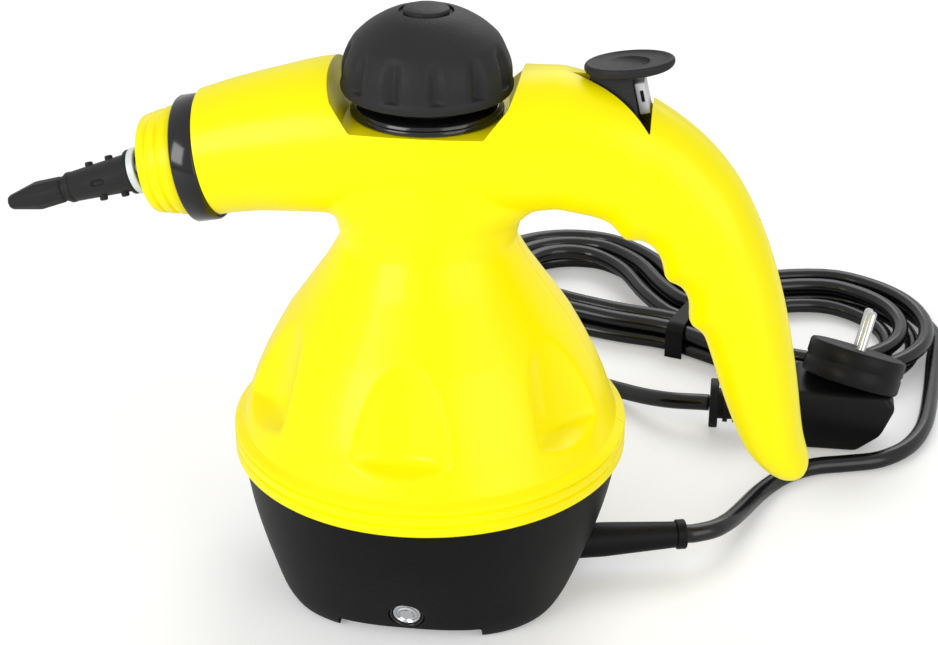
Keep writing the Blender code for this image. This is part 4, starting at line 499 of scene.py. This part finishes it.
def hank_points():
    """The hank's centre line: loops inwards on the floor, then outwards on top of them."""
    points = []
    middle = HANK_LOOPS / 2
    for i in range(round(HANK_LOOPS * POINTS_PER_LOOP) + 1):
        turn = i / POINTS_PER_LOOP
        climb = max(0, min(1, (turn - middle) / 0.5 + 0.5))
        flat, _ = bent(*loop_point(turn, abs(turn - middle)))
        rise = (CORD_DIAMETER + LAYER_GAP) * climb * climb * (3 - 2 * climb)
        points.append(Vector((flat.x, flat.y, CORD_HEIGHT + rise)))
    return points


def make_cord():
    """The whole cord as one curve: lead, tied hank and tail, from the boot to the plug."""
    start = BOOT_SEAT + BOOT_AXIS * BOOT_REACH
    knots = [start, start + BOOT_AXIS * STRAIGHT_END, *LEAD_ROUTE, *hank_points(), *TAIL_ROUTE,
             PLUG_ENTRY - Vector((STRAIGHT_END, 0, 0)), PLUG_ENTRY]
    points = spline_points(knots, 4)
    curve = bpy.data.curves.new("mains_cord", "CURVE")
    curve.dimensions = "3D"
    curve.bevel_depth = CORD_DIAMETER / 2 * MM
    curve.bevel_resolution = 5
    curve.use_fill_caps = True
    spline = curve.splines.new("POLY")
    spline.points.add(len(points) - 1)
    spline.use_smooth = True
    for point, place in zip(spline.points, points):
        point.co = (*at(*place), 1)
    cord = bpy.data.objects.new("mains_cord", curve)
    bpy.context.scene.collection.objects.link(cord)
    curve.materials.append(MATERIALS["cord_black"])
    length = sum((at(*b) - at(*a)).length for a, b in zip(points, points[1:]))
    print("mains_cord: %.3f m" % length)
    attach(cord, "housing")
    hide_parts("cord_lead", "cord_hank", "cord_tail")
    return cord, at(*start), length


# Housing.  The collar and its band lean less than the joint's axis, which the nozzle follows.
# Here and below, rows with no heading of their own hold a radius and a place along the axis.
SPOUT_SEAT = (-84.5, 0, 151.7)
SPOUT_TILT = math.radians(17.5)
SPOUT = Matrix.Translation(SPOUT_SEAT) @ Matrix.Rotation(-(math.pi / 2 + SPOUT_TILT), 4, "Y")
FRONT_SEAT = (-81.5, 0, 152.2)
FRONT = Matrix.Translation(FRONT_SEAT) @ Matrix.Rotation(-math.radians(101), 4, "Y")
BELL_WALL, BAR_WALL = 3, 2.6
BELL = (
    # height, radius
    (56, 66.0), (60, 66.0), (64, 65.4), (70, 63.2), (76, 61.2), (84, 57.9), (92, 53.8), (100, 49.3),
    (110, 42.2), (120, 35.2), (130, 29.5), (138, 27.6), (146, 27.2), (155, 27.0))
NECK_BOTTOM, NECK_HEIGHT, NECK_SPREAD = 130, 15, 0.5
BAR = (
    # place in x and z, tilt in degrees, half height, half depth
    (-60, 158.9, 13, 22.7, 22.7), (-45, 161.6, 10, 24.4, 24.4), (-28, 164.0, 7, 26.0, 26.0),
    (0, 165.3, 0, 25.5, 27.2), (28, 165.3, 0, 24.0, 25.6))
BAR_SQUARING = 0.2
# The bar's first rings and those of its hollow: place along the spout's axis from its seat, radius
BAR_START = ((-3, 21.0), (-8, 21.0), (-14, 21.5))
HOLLOW_START = ((-2.6, 16.3), (-8.9, 16.3))
HANDLE = (
    # outer x and z, inner x and z, half depth
    (44.0, 190.0, 44.0, 143.5, 22.5), (66.0, 184.5, 60.0, 140.0, 20.0), (86.0, 172.8, 73.5, 133.0, 18.2),
    (101.0, 157.5, 83.0, 121.5, 17.2), (112.0, 137.0, 90.5, 108.5, 16.8), (120.0, 113.0, 96.5, 92.5, 16.4),
    (125.5, 88.0, 102.0, 76.0, 15.6), (129.5, 64.0, 109.5, 58.5, 13.6), (132.6, 52.5, 117.0, 49.5, 10.0),
    (131.5, 47.0, 123.0, 45.5, 6.0))
FINGER_RIDGES = ((67.0, 136.7), (81.9, 123.0), (90.8, 106.9))
RIDGE_HEIGHT, RIDGE_LENGTH = 4, 4.2
SCOOPS = 6
SCOOP_ANGLES = [math.tau * i / SCOOPS - math.pi / 2 for i in range(SCOOPS)]
SCOOP_RADIUS, SCOOP_LENGTH, SCOOP_CONE = 25, 40, 14
SCOOP_REACH = SCOOP_FLOOR = 78
SCOOP_LEAN = math.radians(12.6)
SCOOP_WALL = 2.5
HOLLOW_SKIRT, HOLLOW_TOP = ((65.2, 32), (65.2, 60.3)), (21.2, 162)
VOXEL_SIZE, SMOOTHING, SMOOTH_ROUNDS = 1.0, 0.5, 12
POCKET = (
    # height, half width
    (173.6, 26.0), (174.4, 26.7), (182, 30.7), (190, 31.3), (220, 31.3))
POCKET_HALF_DEPTH, POCKET_EXPONENT = 31, 3.4
POCKET_WALL_RADIUS, POCKET_WALL_HEIGHTS = 34, (168.9, 220)
SPOUT_END_RADIUS, SPOUT_END = 40, -8.9
SPOUT_FACE = (
    (17, -14), (18.9, -10), (18.9, -0.4), (18.5, 0), (13.6, 0), (13.6, 7.6), (13.2, 8))
RIM = (
    (64, 52), (68.1, 52), (68.5, 52.4), (68.5, 55.5), (67.7, 55.9), (67.7, 56.5), (68.5, 56.9), (68.5, 59.6),
    (67.7, 60.0), (67.7, 60.6), (68.5, 61.0), (68.4, 61.7), (67.8, 62.3), (66.8, 62.8), (65.8, 63.4),
    (64, 64.6))
SLOT_CORNERS, SLOT_HEIGHTS, SLOT_ROUNDING = ((47, 0), (73.6, -14), (73.6, 14)), (168.7, 212), 0.8
OUTLET_HOLE_RADIUS = 9.2
COLLAR_BORE = 16.2
TRIGGER_PIN, PIN_RADIUS, PIN_HALF_LENGTH = (53, 0, 173), 1.7, 13.3
HUB_RADIUS, HUB_HALF_WIDTH, HUB_GAP = 4, 5, 10.6
TO_PIN = turned_to(TRIGGER_PIN, TO_SIDE)
VALVE_SHELF_SIZE, VALVE_SHELF = (20, 45, 20), (66, 0, 134.7)
SEAM_HALF_GAP = 0.15


def bar_ring(middle, tilt, high, deep, exponent, sides):
    """A ring across the bar: its height leans by tilt (radians) in the XZ plane."""
    up = (-math.sin(tilt), math.cos(tilt))
    return [Vector((middle[0] + up[0] * b, a, middle[1] + up[1] * b))
            for a, b in superellipse(deep, high, exponent, sides)]


def bar_rings(front, wall=0, between=6, sides=96, last=len(HANDLE)):
    """Rings from the spout to a row of the grip, taken in by a wall."""
    rings = []
    for reach, radius in front:
        place = (SPOUT_SEAT[0] - math.cos(SPOUT_TILT) * reach, SPOUT_SEAT[2] - math.sin(SPOUT_TILT) * reach)
        rings.append(bar_ring(place, SPOUT_TILT, radius, radius, 2, sides))
    knots = [(x, z, tilt) for x, z, tilt, _, _ in BAR]
    sizes = [(high, deep) for _, _, _, high, deep in BAR]
    for i, (place, size) in enumerate(zip(spline_points(knots, between), spline_points(sizes, between))):
        exponent = 2 + BAR_SQUARING * min(1, i / (3 * between))
        rings.append(bar_ring(place, math.radians(place.z), size.x - wall, size.y - wall, exponent, sides))
    rows = HANDLE[:last]
    tops = [(x, 0, z) for x, z, _, _, _ in rows]
    lows = [(x, 0, z) for _, _, x, z, _ in rows]
    deeps = [(deep, 0) for _, _, _, _, deep in rows]
    for top, low, deep in zip(*(spline_points(row, between) for row in (tops, lows, deeps))):
        across = (top - low).normalized()
        if not wall:
            for x, z in FINGER_RIDGES:
                away = (low - Vector((x, 0, z))).length / RIDGE_LENGTH
                low = low - across * RIDGE_HEIGHT * math.exp(-away ** 2)
        half = (top - low).length / 2 - wall
        middle = (top + low) / 2
        rings.append(bar_ring((middle.x, middle.z), math.atan2(-across.x, across.z), half,
                              deep.x - wall, 2 + BAR_SQUARING, sides))
    return rings


def scoop(angle, grow=0, steps=96):
    """One arched scoop: a leaning cylinder on a cone that closes under its floor."""
    radius = SCOOP_RADIUS + grow
    tool = turned("scoop", [(radius, SCOOP_LENGTH), (radius, -grow), (0.01, -SCOOP_CONE - grow)], steps)
    c, s = math.cos(angle), math.sin(angle)
    axis = (-math.sin(SCOOP_LEAN) * c, -math.sin(SCOOP_LEAN) * s, math.cos(SCOOP_LEAN))
    return moved(tool, turned_to((SCOOP_REACH * c, SCOOP_REACH * s, SCOOP_FLOOR), axis))


def housing_hollow():
    """What is inside the housing, kept off the scoops, the cap's pocket and the inner seats."""
    bell = [(radius - BELL_WALL, height) for height, radius in BELL[2:-2]]
    hollow = turned("hollow", [*HOLLOW_SKIRT, *bell, HOLLOW_TOP], 72)
    fuse(hollow, lofted("hollow_bar", bar_rings(HOLLOW_START, BAR_WALL, 2, 36, 8)))
    for angle in SCOOP_ANGLES:
        cut(hollow, scoop(angle, SCOOP_WALL, 48))
    wall = [round_ring(height, POCKET_WALL_RADIUS, POCKET_EXPONENT, 96) for height in POCKET_WALL_HEIGHTS]
    cut(hollow, lofted("pocket_wall", wall))
    boss = moved(rod("boss", HUB_RADIUS, -50, 50, 32), TO_PIN)
    cut(boss, block("boss_gap", (20, HUB_GAP, 20), TRIGGER_PIN))
    cut(hollow, boss)
    return cut(hollow, block("valve_shelf", VALVE_SHELF_SIZE, VALVE_SHELF))


def make_housing():
    body = turned("body", [(radius, height) for height, radius in BELL], 160)
    for corner in body.data.vertices:
        rise = max(0, min(1, (corner.co.z - NECK_BOTTOM) / NECK_HEIGHT))
        corner.co.x *= 1 + NECK_SPREAD * rise * rise
    fuse(body, lofted("bar", bar_rings(BAR_START)))
    for angle in SCOOP_ANGLES:
        cut(body, scoop(angle))
    modify(body, "REMESH", mode="VOXEL", voxel_size=VOXEL_SIZE)
    modify(body, "SMOOTH", factor=SMOOTHING, iterations=SMOOTH_ROUNDS)
    cut(body, lofted("pocket", [flat_ring(height, wide, POCKET_HALF_DEPTH, POCKET_EXPONENT, 128)
                                for height, wide in POCKET]))
    cut(body, moved(rod("spout_end", SPOUT_END_RADIUS, SPOUT_END, 30), FRONT))
    fuse(body, moved(turned("spout_seat", SPOUT_FACE, 128), FRONT))
    fuse(body, turned("rim", RIM, 192, filled=False))
    cut(body, housing_hollow())
    slot = lofted("trigger_slot", [[Vector((x, y, z)) for x, y in SLOT_CORNERS] for z in SLOT_HEIGHTS])
    cut(body, bevelled(slot, SLOT_ROUNDING))
    cut(body, rod("neck_hole", COLLAR_BORE, 160, 181))
    cut(body, moved(rod("outlet_hole", OUTLET_HOLE_RADIUS, -13, 20, 64), SPOUT))
    cut(body, moved(rod("pin_hole", PIN_RADIUS, -PIN_HALF_LENGTH, PIN_HALF_LENGTH, 32), TO_PIN))
    halves = []
    for name, side in (("housing_front", -1), ("housing_rear", 1)):
        half = bpy.data.objects.new(name, body.data.copy())
        half.data.name = name
        bpy.context.scene.collection.objects.link(half)
        cut(half, block("other_side", (400, 200, 400), (0, -side * (100 - SEAM_HALF_GAP), 130)))
        halves.append(half)
    bpy.data.objects.remove(body)
    finished(halves[0], "yellow_plastic", "body_shell_front")
    finished(halves[1], "yellow_plastic", "body_shell_rear")


# Base
BASE = (
    # height, radius, exponent of the outline
    (0, 49.2, 2.8), (5.2, 52.2, 2.7), (14, 56, 2.45), (24, 59.8, 2.25), (34, 63, 2.1), (44, 65.2, 2),
    (51.7, 66, 2))
FOOT_EDGE = (
    # height, how far the edge is taken in
    (0, 0.8), (0.5, 0.1))
BASE_WALL = 2.8
BASE_FLOOR, BASE_TOP = (8.5, 50.9, 2.6), (60, 63.2, 2)
TONGUE = ((60, 50), (64.6, 50), (64.6, 56.6), (64.2, 57), (60, 57))
RECESSES, RECESS_ROUNDING = ((50, 150, 10), (150, 50, 10)), 0.8
POSTS, POST_CIRCLE, POST_RADIUS, POST_BOTTOM, POST_TOP = 4, 46.5, 4, 8, 26
SCREW_HOLE = ((3.3, -20), (3.3, 4), (1.9, 4), (1.9, 30))
BOOT_HOLE_RADIUS = 6.5
BOOT = (
    (5.9, -13.2), (6.2, -12.9), (6.2, 3.5), (4.7, 30.0), (5.1, 30.0), (5.4, 30.3), (5.4, 33.2), (5.1, 33.5))
LENS_TILT = math.radians(13.5)
TO_LENS = turned_to((0, -54.5, 12), (0, -math.cos(LENS_TILT), -math.sin(LENS_TILT)))
LENS_HOLE_RADIUS, LENS_HOLE_DEPTH, LAMP_HOLE_RADIUS = 6.3, 3.9, 4.3
LENS = (
    (5, -3.6), (5, -0.9), (4.6, -0.5), (4.1, -0.4), (3.7, -0.9), (3.4, -0.4), (2.8, -0.1), (2.4, -0.6),
    (2.1, -0.1), (1.2, 0))
LENS_RIM = ((5.2, -3), (6.1, -3), (6.1, -0.5), (5.8, -0.1), (5.4, -0.1), (5.2, -0.4))


def make_base():
    """The cup under the housing, on four feet with a crossed recess between them."""
    knots = [Vector(row) for row in BASE]
    rows = spline_points(knots, 4)
    edge = [Vector((height, rows[0].y - taken_in, rows[0].z)) for height, taken_in in FOOT_EDGE]
    rows = edge + rows[1:]
    base = lofted("base", [round_ring(*row, 160) for row in rows])
    fuse(base, turned("tongue", TONGUE, 128, filled=False))
    inside = [(height, radius - BASE_WALL, exponent) for height, radius, exponent in knots[2:]]
    inside = [BASE_FLOOR, *inside, BASE_TOP]
    cut(base, lofted("base_inside", [round_ring(*row, 96) for row in inside]))
    for size in RECESSES:
        cut(base, block("foot_gap", size, bevel=RECESS_ROUNDING, segments=2))
    for i in range(POSTS):
        angle = math.pi / 4 + math.tau * i / POSTS
        place = Matrix.Translation((POST_CIRCLE * math.cos(angle), POST_CIRCLE * math.sin(angle), 0))
        fuse(base, moved(rod("post", POST_RADIUS, POST_BOTTOM, POST_TOP, 32), place))
        cut(base, moved(turned("screw_hole", SCREW_HOLE, 24), place))
    cut(base, moved(rod("lens_hole", LENS_HOLE_RADIUS, -LENS_HOLE_DEPTH, 20, 64), TO_LENS))
    cut(base, moved(rod("lamp_hole", LAMP_HOLE_RADIUS, -30, 0, 32), TO_LENS))
    to_boot = turned_to(BOOT_SEAT, BOOT_AXIS)
    cut(base, moved(rod("boot_hole", BOOT_HOLE_RADIUS, -30, 30, 64), to_boot))
    finished(base, "matt_black", "base_housing")
    finished(moved(turned("lens", LENS, 64), TO_LENS), "clear_lens", "indicator_lens", angle=25)
    finished(moved(turned("lens_rim", LENS_RIM, 64, filled=False), TO_LENS), "gloss_black", body="housing")
    finished(moved(turned("boot", BOOT, 64), to_boot), "matt_black", "cord_boot")


# Spout and nozzle: rows of (radius, place along the axis)
SPOUT_BAND = (
    (19.2, -8.7), (20.7, -8.7), (21.2, -8.4), (21.5, -7.8), (21.5, -1.2), (21.2, -0.6), (20.7, -0.3),
    (19.2, -0.3))
SPOUT_COLLAR = (
    (9.2, 13.1), (15.7, 13.1), (16.3, 12.9), (16.65, 12.4), (17.1, 10.3), (16.5, 9.6), (16.5, 9.3),
    (17.5, 8.6), (17.65, 8.2), (17.9, 6.1), (17.3, 5.4), (17.3, 5.1), (18.3, 4.4), (18.4, 4.0), (18.9, 0.9),
    (18.7, 0.3), (13.9, 0.3), (13.9, 10.5), (9.2, 10.5))
STEAM_OUTLET = (
    (2.2, 27.2), (4.7, 27.2), (5, 26.9), (5, 13.8), (7.1, 13.8), (7.1, -2.9), (8.9, -2.9), (8.9, -5.9),
    (2.2, -5.9))
OUTLET_SEAL = ((5.3, 16.9), (7.6, 16.9), (7.9, 16.6), (7.9, 14.6), (7.6, 14.3), (5.3, 14.3))
NOZZLE_PLACE, TIP_PLACE = 17.2, 43.6
NOZZLE = (
    (1.8, 26.3), (4.2, 26.3), (4.5, 26.0), (4.5, 25.0), (5.1, 24.8), (5.3, 24.5), (5.3, 23.4), (5.0, 23.1),
    (5.2, 22.8), (6.5, 2.2), (6.7, 1.6), (7.5, 1.4), (7.7, 1.1), (7.7, 0.3), (7.4, 0), (5.3, 0), (5.3, 10.1),
    (1.8, 10.1))
PEG = ((1.4, -2), (1.4, 0.4), (1.1, 0.7))
PEG_PLACES = (
    # turn in degrees, out from the axis, along it
    (26, 6.7, 8.4), (26, 6.2, 16), (206, 6.9, 5), (206, 6.4, 13))
DENT_SIZE, DENT_ROUNDING = (2.6, 2.2, 5), 0.9
DENT_PLACES = ((-80, 6.3, 12), (100, 6.3, 12))
TIP = ((4.0, 0), (4.6, 0.9), (5.0, 9.8), (4.8, 11.2), (2.7, 20.3), (2.2, 21.2))
TIP_SIDES, TIP_BORE, TIP_ROUNDING = 8, 1.1, 0.3


def along_spout(name, rows, finish, steps, place=SPOUT):
    return finished(moved(turned(name, rows, steps, False), place), finish, name)


def make_spout():
    along_spout("spout_band", SPOUT_BAND, "gloss_black", 128, FRONT)
    along_spout("spout_collar", SPOUT_COLLAR, "yellow_plastic", 128, FRONT)
    along_spout("steam_outlet", STEAM_OUTLET, "gloss_black", 64)
    along_spout("outlet_seal", OUTLET_SEAL, "white_seal", 64)
    nozzle = turned("nozzle", NOZZLE, 64, filled=False)
    for place in PEG_PLACES:
        outwards = beside_axis(*place) @ Matrix.Rotation(math.pi / 2, 4, "Y")
        fuse(nozzle, moved(turned("peg", PEG, 24), outwards))
    for place in DENT_PLACES:
        cut(nozzle, moved(block("dent", DENT_SIZE, bevel=DENT_ROUNDING), beside_axis(*place)))
    finished(moved(nozzle, SPOUT @ Matrix.Translation((0, 0, NOZZLE_PLACE))), "satin_black", "nozzle_body")
    tip = bevelled(turned("jet_tip", TIP, TIP_SIDES), TIP_ROUNDING, angle=12)
    cut(tip, rod("bore", TIP_BORE, -5, 30, 32))
    turn = Matrix.Rotation(math.pi / TIP_SIDES, 4, "Z")
    place = SPOUT @ Matrix.Translation((0, 0, TIP_PLACE)) @ turn
    finished(moved(tip, place), "satin_black", "nozzle_tip", angle=20)


# Filler cap
CAP = (
    # radius, height, depth of the flutes
    (26.4, 181.5, 0), (27.6, 181.7, 0), (28.2, 182.6, 0), (28.3, 183.8, 0), (28.0, 184.9, 0),
    (27.9, 185.8, 2.0), (27.8, 189.2, 2.2), (27.2, 192.2, 2.0), (26.1, 195, 1.6), (24.8, 197.4, 0.6),
    (23.2, 199.5, 0), (18.9, 203.2, 0), (12.9, 206.6, 0), (7.2, 208.2, 0))
FLUTES, CAP_SIDES = 12, 240
CAP_HOLLOW = ((10.4, 204.5), (18.6, 198.7), (23.2, 191.8), (23.2, 170))
BADGE_SEAT_RADIUS, BADGE_SEAT_HEIGHT = 9, 206.9
BADGE = ((7.5, 207.2), (7.5, 208.2), (7.3, 208.5), (6.9, 208.7), (3.5, 208.87))
FILLER_COLLAR = (
    (COLLAR_BORE, 177.5), (22.9, 177.5), (23.9, 177.2), (24.5, 176.6), (24.7, 175.8), (25.1, 175.5),
    (25.3, 175.2), (25.3, 174.2), (25.0, 173.9), (COLLAR_BORE, 173.9))


def make_cap():
    rings = []
    for radius, height, depth in spline_points(CAP, 4):
        ring = []
        for i in range(CAP_SIDES):
            angle = math.tau * i / CAP_SIDES
            reach = radius - max(0, depth) * (0.5 - 0.5 * math.cos(FLUTES * angle)) ** 4
            ring.append(Vector((reach * math.cos(angle), reach * math.sin(angle), height)))
        rings.append(ring)
    cap = lofted("cap", rings)
    cut(cap, turned("cap_hollow", CAP_HOLLOW))
    cut(cap, rod("badge_seat", BADGE_SEAT_RADIUS, BADGE_SEAT_HEIGHT, 220))
    finished(cap, "satin_black", "cap_dome")
    finished(turned("badge", BADGE), "satin_black", "cap_badge")
    finished(turned("filler_collar", FILLER_COLLAR, 128, filled=False), "gloss_black", "filler_collar")


# Trigger and its lock
PAD_CENTER, PAD_HEIGHT, PAD_THICKNESS = 65.5, 192, 4.5
PAD_HALF_LENGTH, PAD_HALF_DEPTH = 14.5, 10.5
PAD_SLOPE = math.tan(math.radians(6.5))
PAD = (
    # share of the pad's size, share of its thickness
    (0.70, -0.34), (0.87, -0.26), (0.965, -0.10), (1.00, 0.12), (0.995, 0.34), (0.965, 0.47), (0.92, 0.49),
    (0.84, 0.42), (0.70, 0.35), (0.45, 0.31), (0.20, 0.30))
DISH_PLACE, DISH_TILT, DISH_HALF_SIZE = (62.6, 0, 194.1), math.radians(2), (9.6, 6.6, 2.0)
STEM_ROUNDING, WEDGE_ROUNDING = 0.5, 0.4
# The stem and the wider wedge round it: height, left and right edge, half depth at each
STEM = ((192, 53.9, 66.08, 1.5, 6.225), (176.4, 53.9, 69.56, 1.5, 7.2), (168, 58.25, 71.59, 1.5, 6.0))
WEDGE = ((190.6, 53.6, 66.4, 1.6, 6.0), (182, 51.8, 68.3, 1.3, 8.8), (173, 50.2, 70.3, 0.7, 11.4))
SLIDER_SIZE, SLIDER_ROUNDING, SLIDER_PLACE = (3.4, 9, 10.5), 0.35, (70.2, 0, 182.9)
GROOVE_SIZE, GROOVE_ROUNDING, GROOVE_PLACE = (1.2, 1.2, 4), 0.3, (0.2, -4.5, 0.8)
# Painted shade: a dark matt block set at the bottom of the slider's groove stands for the shade inside it.
# These are its size, rounding and place.
PAINTED_SHADE_SIZE, PAINTED_SHADE_ROUNDING, PAINTED_SHADE_PLACE = (0.9, 0.5, 3.7), 0.2, (0.2, -4.15, 0.8)
SLIDER_LEAN = -math.atan2(3.5, 15.6)


def make_trigger():
    rings = []
    for size, rise in spline_points(PAD, 3):
        outline = superellipse(PAD_HALF_LENGTH * size, PAD_HALF_DEPTH * size, 2, 96)
        rings.append([Vector((PAD_CENTER + x, y, PAD_HEIGHT + PAD_THICKNESS * rise + x * PAD_SLOPE))
                      for x, y in outline])
    pad = lofted("trigger", rings)
    deselect()
    bpy.ops.mesh.primitive_uv_sphere_add(segments=64, ring_count=32, radius=1)
    dish = named("dish")
    lean = Matrix.Translation(DISH_PLACE) @ Matrix.Rotation(DISH_TILT, 4, "Y")
    cut(pad, moved(dish, lean @ Matrix.Diagonal((*DISH_HALF_SIZE, 1))))
    for name, rows, rounding in (("stem", STEM, STEM_ROUNDING), ("wedge", WEDGE, WEDGE_ROUNDING)):
        fuse(pad, bevelled(lofted(name, [four_corners(*row) for row in rows]), rounding, angle=25))
    fuse(pad, moved(rod("hub", HUB_RADIUS, -HUB_HALF_WIDTH, HUB_HALF_WIDTH, 64), TO_PIN))
    cut(pad, moved(rod("hub_bore", PIN_RADIUS, -10, 10, 32), TO_PIN))
    finished(pad, "satin_black", "trigger")
    slider = block("slider", SLIDER_SIZE, bevel=SLIDER_ROUNDING)
    cut(slider, block("slider_groove", GROOVE_SIZE, GROOVE_PLACE, GROOVE_ROUNDING, 2))
    place = Matrix.Translation(SLIDER_PLACE) @ Matrix.Rotation(SLIDER_LEAN, 4, "Y")
    finished(moved(slider, place), "grey_plastic", "lock_slider")
    # Painted shade in the slider's groove: a dark matt block that rides with the lock.
    painted_shade = block("slider_painted_shade", PAINTED_SHADE_SIZE, PAINTED_SHADE_PLACE, PAINTED_SHADE_ROUNDING, 2)
    finished(moved(painted_shade, place), "matt_black", body="lock")


# Plug and tie
PLUG_CENTER = Vector((153, 110, 33))
PLUG_LEAN = math.radians(22)
PLUG_AXIS = Vector((0.24, math.sin(PLUG_LEAN), math.cos(PLUG_LEAN))).normalized()
PLUG = (
    (18, -7), (19, -6.7), (19.5, -5.8), (19.5, -1), (19.1, -0.3), (19.1, 0.3), (19.5, 1), (19.5, 5.8),
    (19, 6.7), (18, 7))
PLUG_RADIUS, PLUG_HALF_HEIGHT = 19.5, 7
PLUG_BACK, PLUG_ROUNDING = 130, 2.4
PLUG_BLOCK = (
    # height, right edge, half depth
    (0.3, 156, 12), (9, 165, 14.5), (22, 170, 15), (27, 166, 14))
NOTCH_SIZE = (3, 5, 14)
PRONG = ((1.8, 0), (1.8, 14.4), (1.6, 15.3), (1.1, 15.8), (0.5, 15.9))
PRONG_BASE, PRONG_OFFSET = 7.3, 9.5
PLUG_BOOT_SEAT, PLUG_BOOT_LENGTH = (97, 110, 12), 32.7
PLUG_BOOT_FLANGE = ((9.6, 0), (10, 0.4), (10, 3.1), (9.6, 3.5), (6.2, 3.5))
SLEEVE_RADIUS, RIB_RADIUS, RIBS, RIB_STEP = 6.2, 7.4, 3, 3.92
TIE_HALF_WIDTH = 3
TIE_LAYERS = (
    # clearance round the hank, corner radius, order of the points
    (1.5, 5, 1), (0.6, 4.1, -1))
TIE_CORNER_STEPS = 12


def make_plug():
    plug = moved(turned("plug", PLUG, 128), turned_to(PLUG_CENTER, PLUG_AXIS))
    body = lofted("plug_block", [four_corners(height, PLUG_BACK, right, deep, deep, PLUG_CENTER.y)
                                 for height, right, deep in PLUG_BLOCK])
    fuse(plug, bevelled(body, PLUG_ROUNDING, 5, 15))
    for side in (-1, 1):
        edge = PLUG_CENTER + Vector((side * PLUG_RADIUS, 0, 0)) + PLUG_AXIS * PLUG_HALF_HEIGHT
        cut(plug, moved(block("earth_notch", NOTCH_SIZE), turned_to(edge, PLUG_AXIS)))
    pieces = [finished(plug, "plug_black", "plug_body", slot="satin_black")]
    across = PLUG_AXIS.cross(Vector((1, 0, 0)))
    for name, side in (("plug_pin_near", 1), ("plug_pin_far", -1)):
        place = PLUG_CENTER + PLUG_AXIS * PRONG_BASE + across * (side * PRONG_OFFSET)
        prong = moved(turned(name, PRONG, 48), turned_to(place, PLUG_AXIS))
        pieces.append(finished(prong, "steel", name))
    rows = list(PLUG_BOOT_FLANGE)
    for i in range(RIBS):
        low = PLUG_BOOT_FLANGE[-1][1] + RIB_STEP * (i + 0.5)
        high = low + RIB_STEP / 2
        rows += [(SLEEVE_RADIUS, low), (RIB_RADIUS, low), (RIB_RADIUS, high), (SLEEVE_RADIUS, high)]
    rows.append((SLEEVE_RADIUS, PLUG_BOOT_LENGTH))
    boot = moved(turned("plug_boot", rows), turned_to(PLUG_BOOT_SEAT, (1, 0, 0)))
    pieces.append(finished(boot, "plug_black", "plug_boot", slot="satin_black"))
    return pieces


def make_tie():
    """The flat tie round the hank's waist, over its top and down both sides."""
    middle, left = bent(0, 0)
    ahead = Vector((left.y, -left.x))
    reach = []
    hank = hank_points()
    for a, b in zip(hank, hank[1:]):
        near, far = ((point.xy - middle).dot(ahead) for point in (a, b))
        for edge in (-TIE_HALF_WIDTH, TIE_HALF_WIDTH):
            if (near - edge) * (far - edge) < 0:
                reach.append((a.lerp(b, (edge - near) / (far - near)).xy - middle).dot(left))
    front, back = CORD_DIAMETER / 2 - min(reach), CORD_DIAMETER / 2 + max(reach)
    top = CORD_HEIGHT + CORD_DIAMETER * 1.5 + LAYER_GAP
    outline = []
    for grow, corner, direction in TIE_LAYERS:
        side = [(-front - grow, 0)]
        for y, first in ((corner - front - grow, math.pi), (back + grow - corner, math.pi / 2)):
            for step in range(TIE_CORNER_STEPS + 1):
                angle = first - math.pi / 2 * step / TIE_CORNER_STEPS
                side.append((y + corner * math.cos(angle), top + grow - corner + corner * math.sin(angle)))
        side.append((back + grow, 0))
        outline += side[::direction]
    rings = [[Vector((*bent(along, across)[0], height)) for across, height in outline]
             for along in (-TIE_HALF_WIDTH, TIE_HALF_WIDTH)]
    return finished(lofted("tie", rings), "matt_black", "cord_tie")


set_camera()
set_stage()
dress_nodes()
cord, cord_exit, cord_length = make_cord()
make_plug() + [make_tie()]
make_housing()
make_base()
make_spout()
make_cap()
make_trigger()
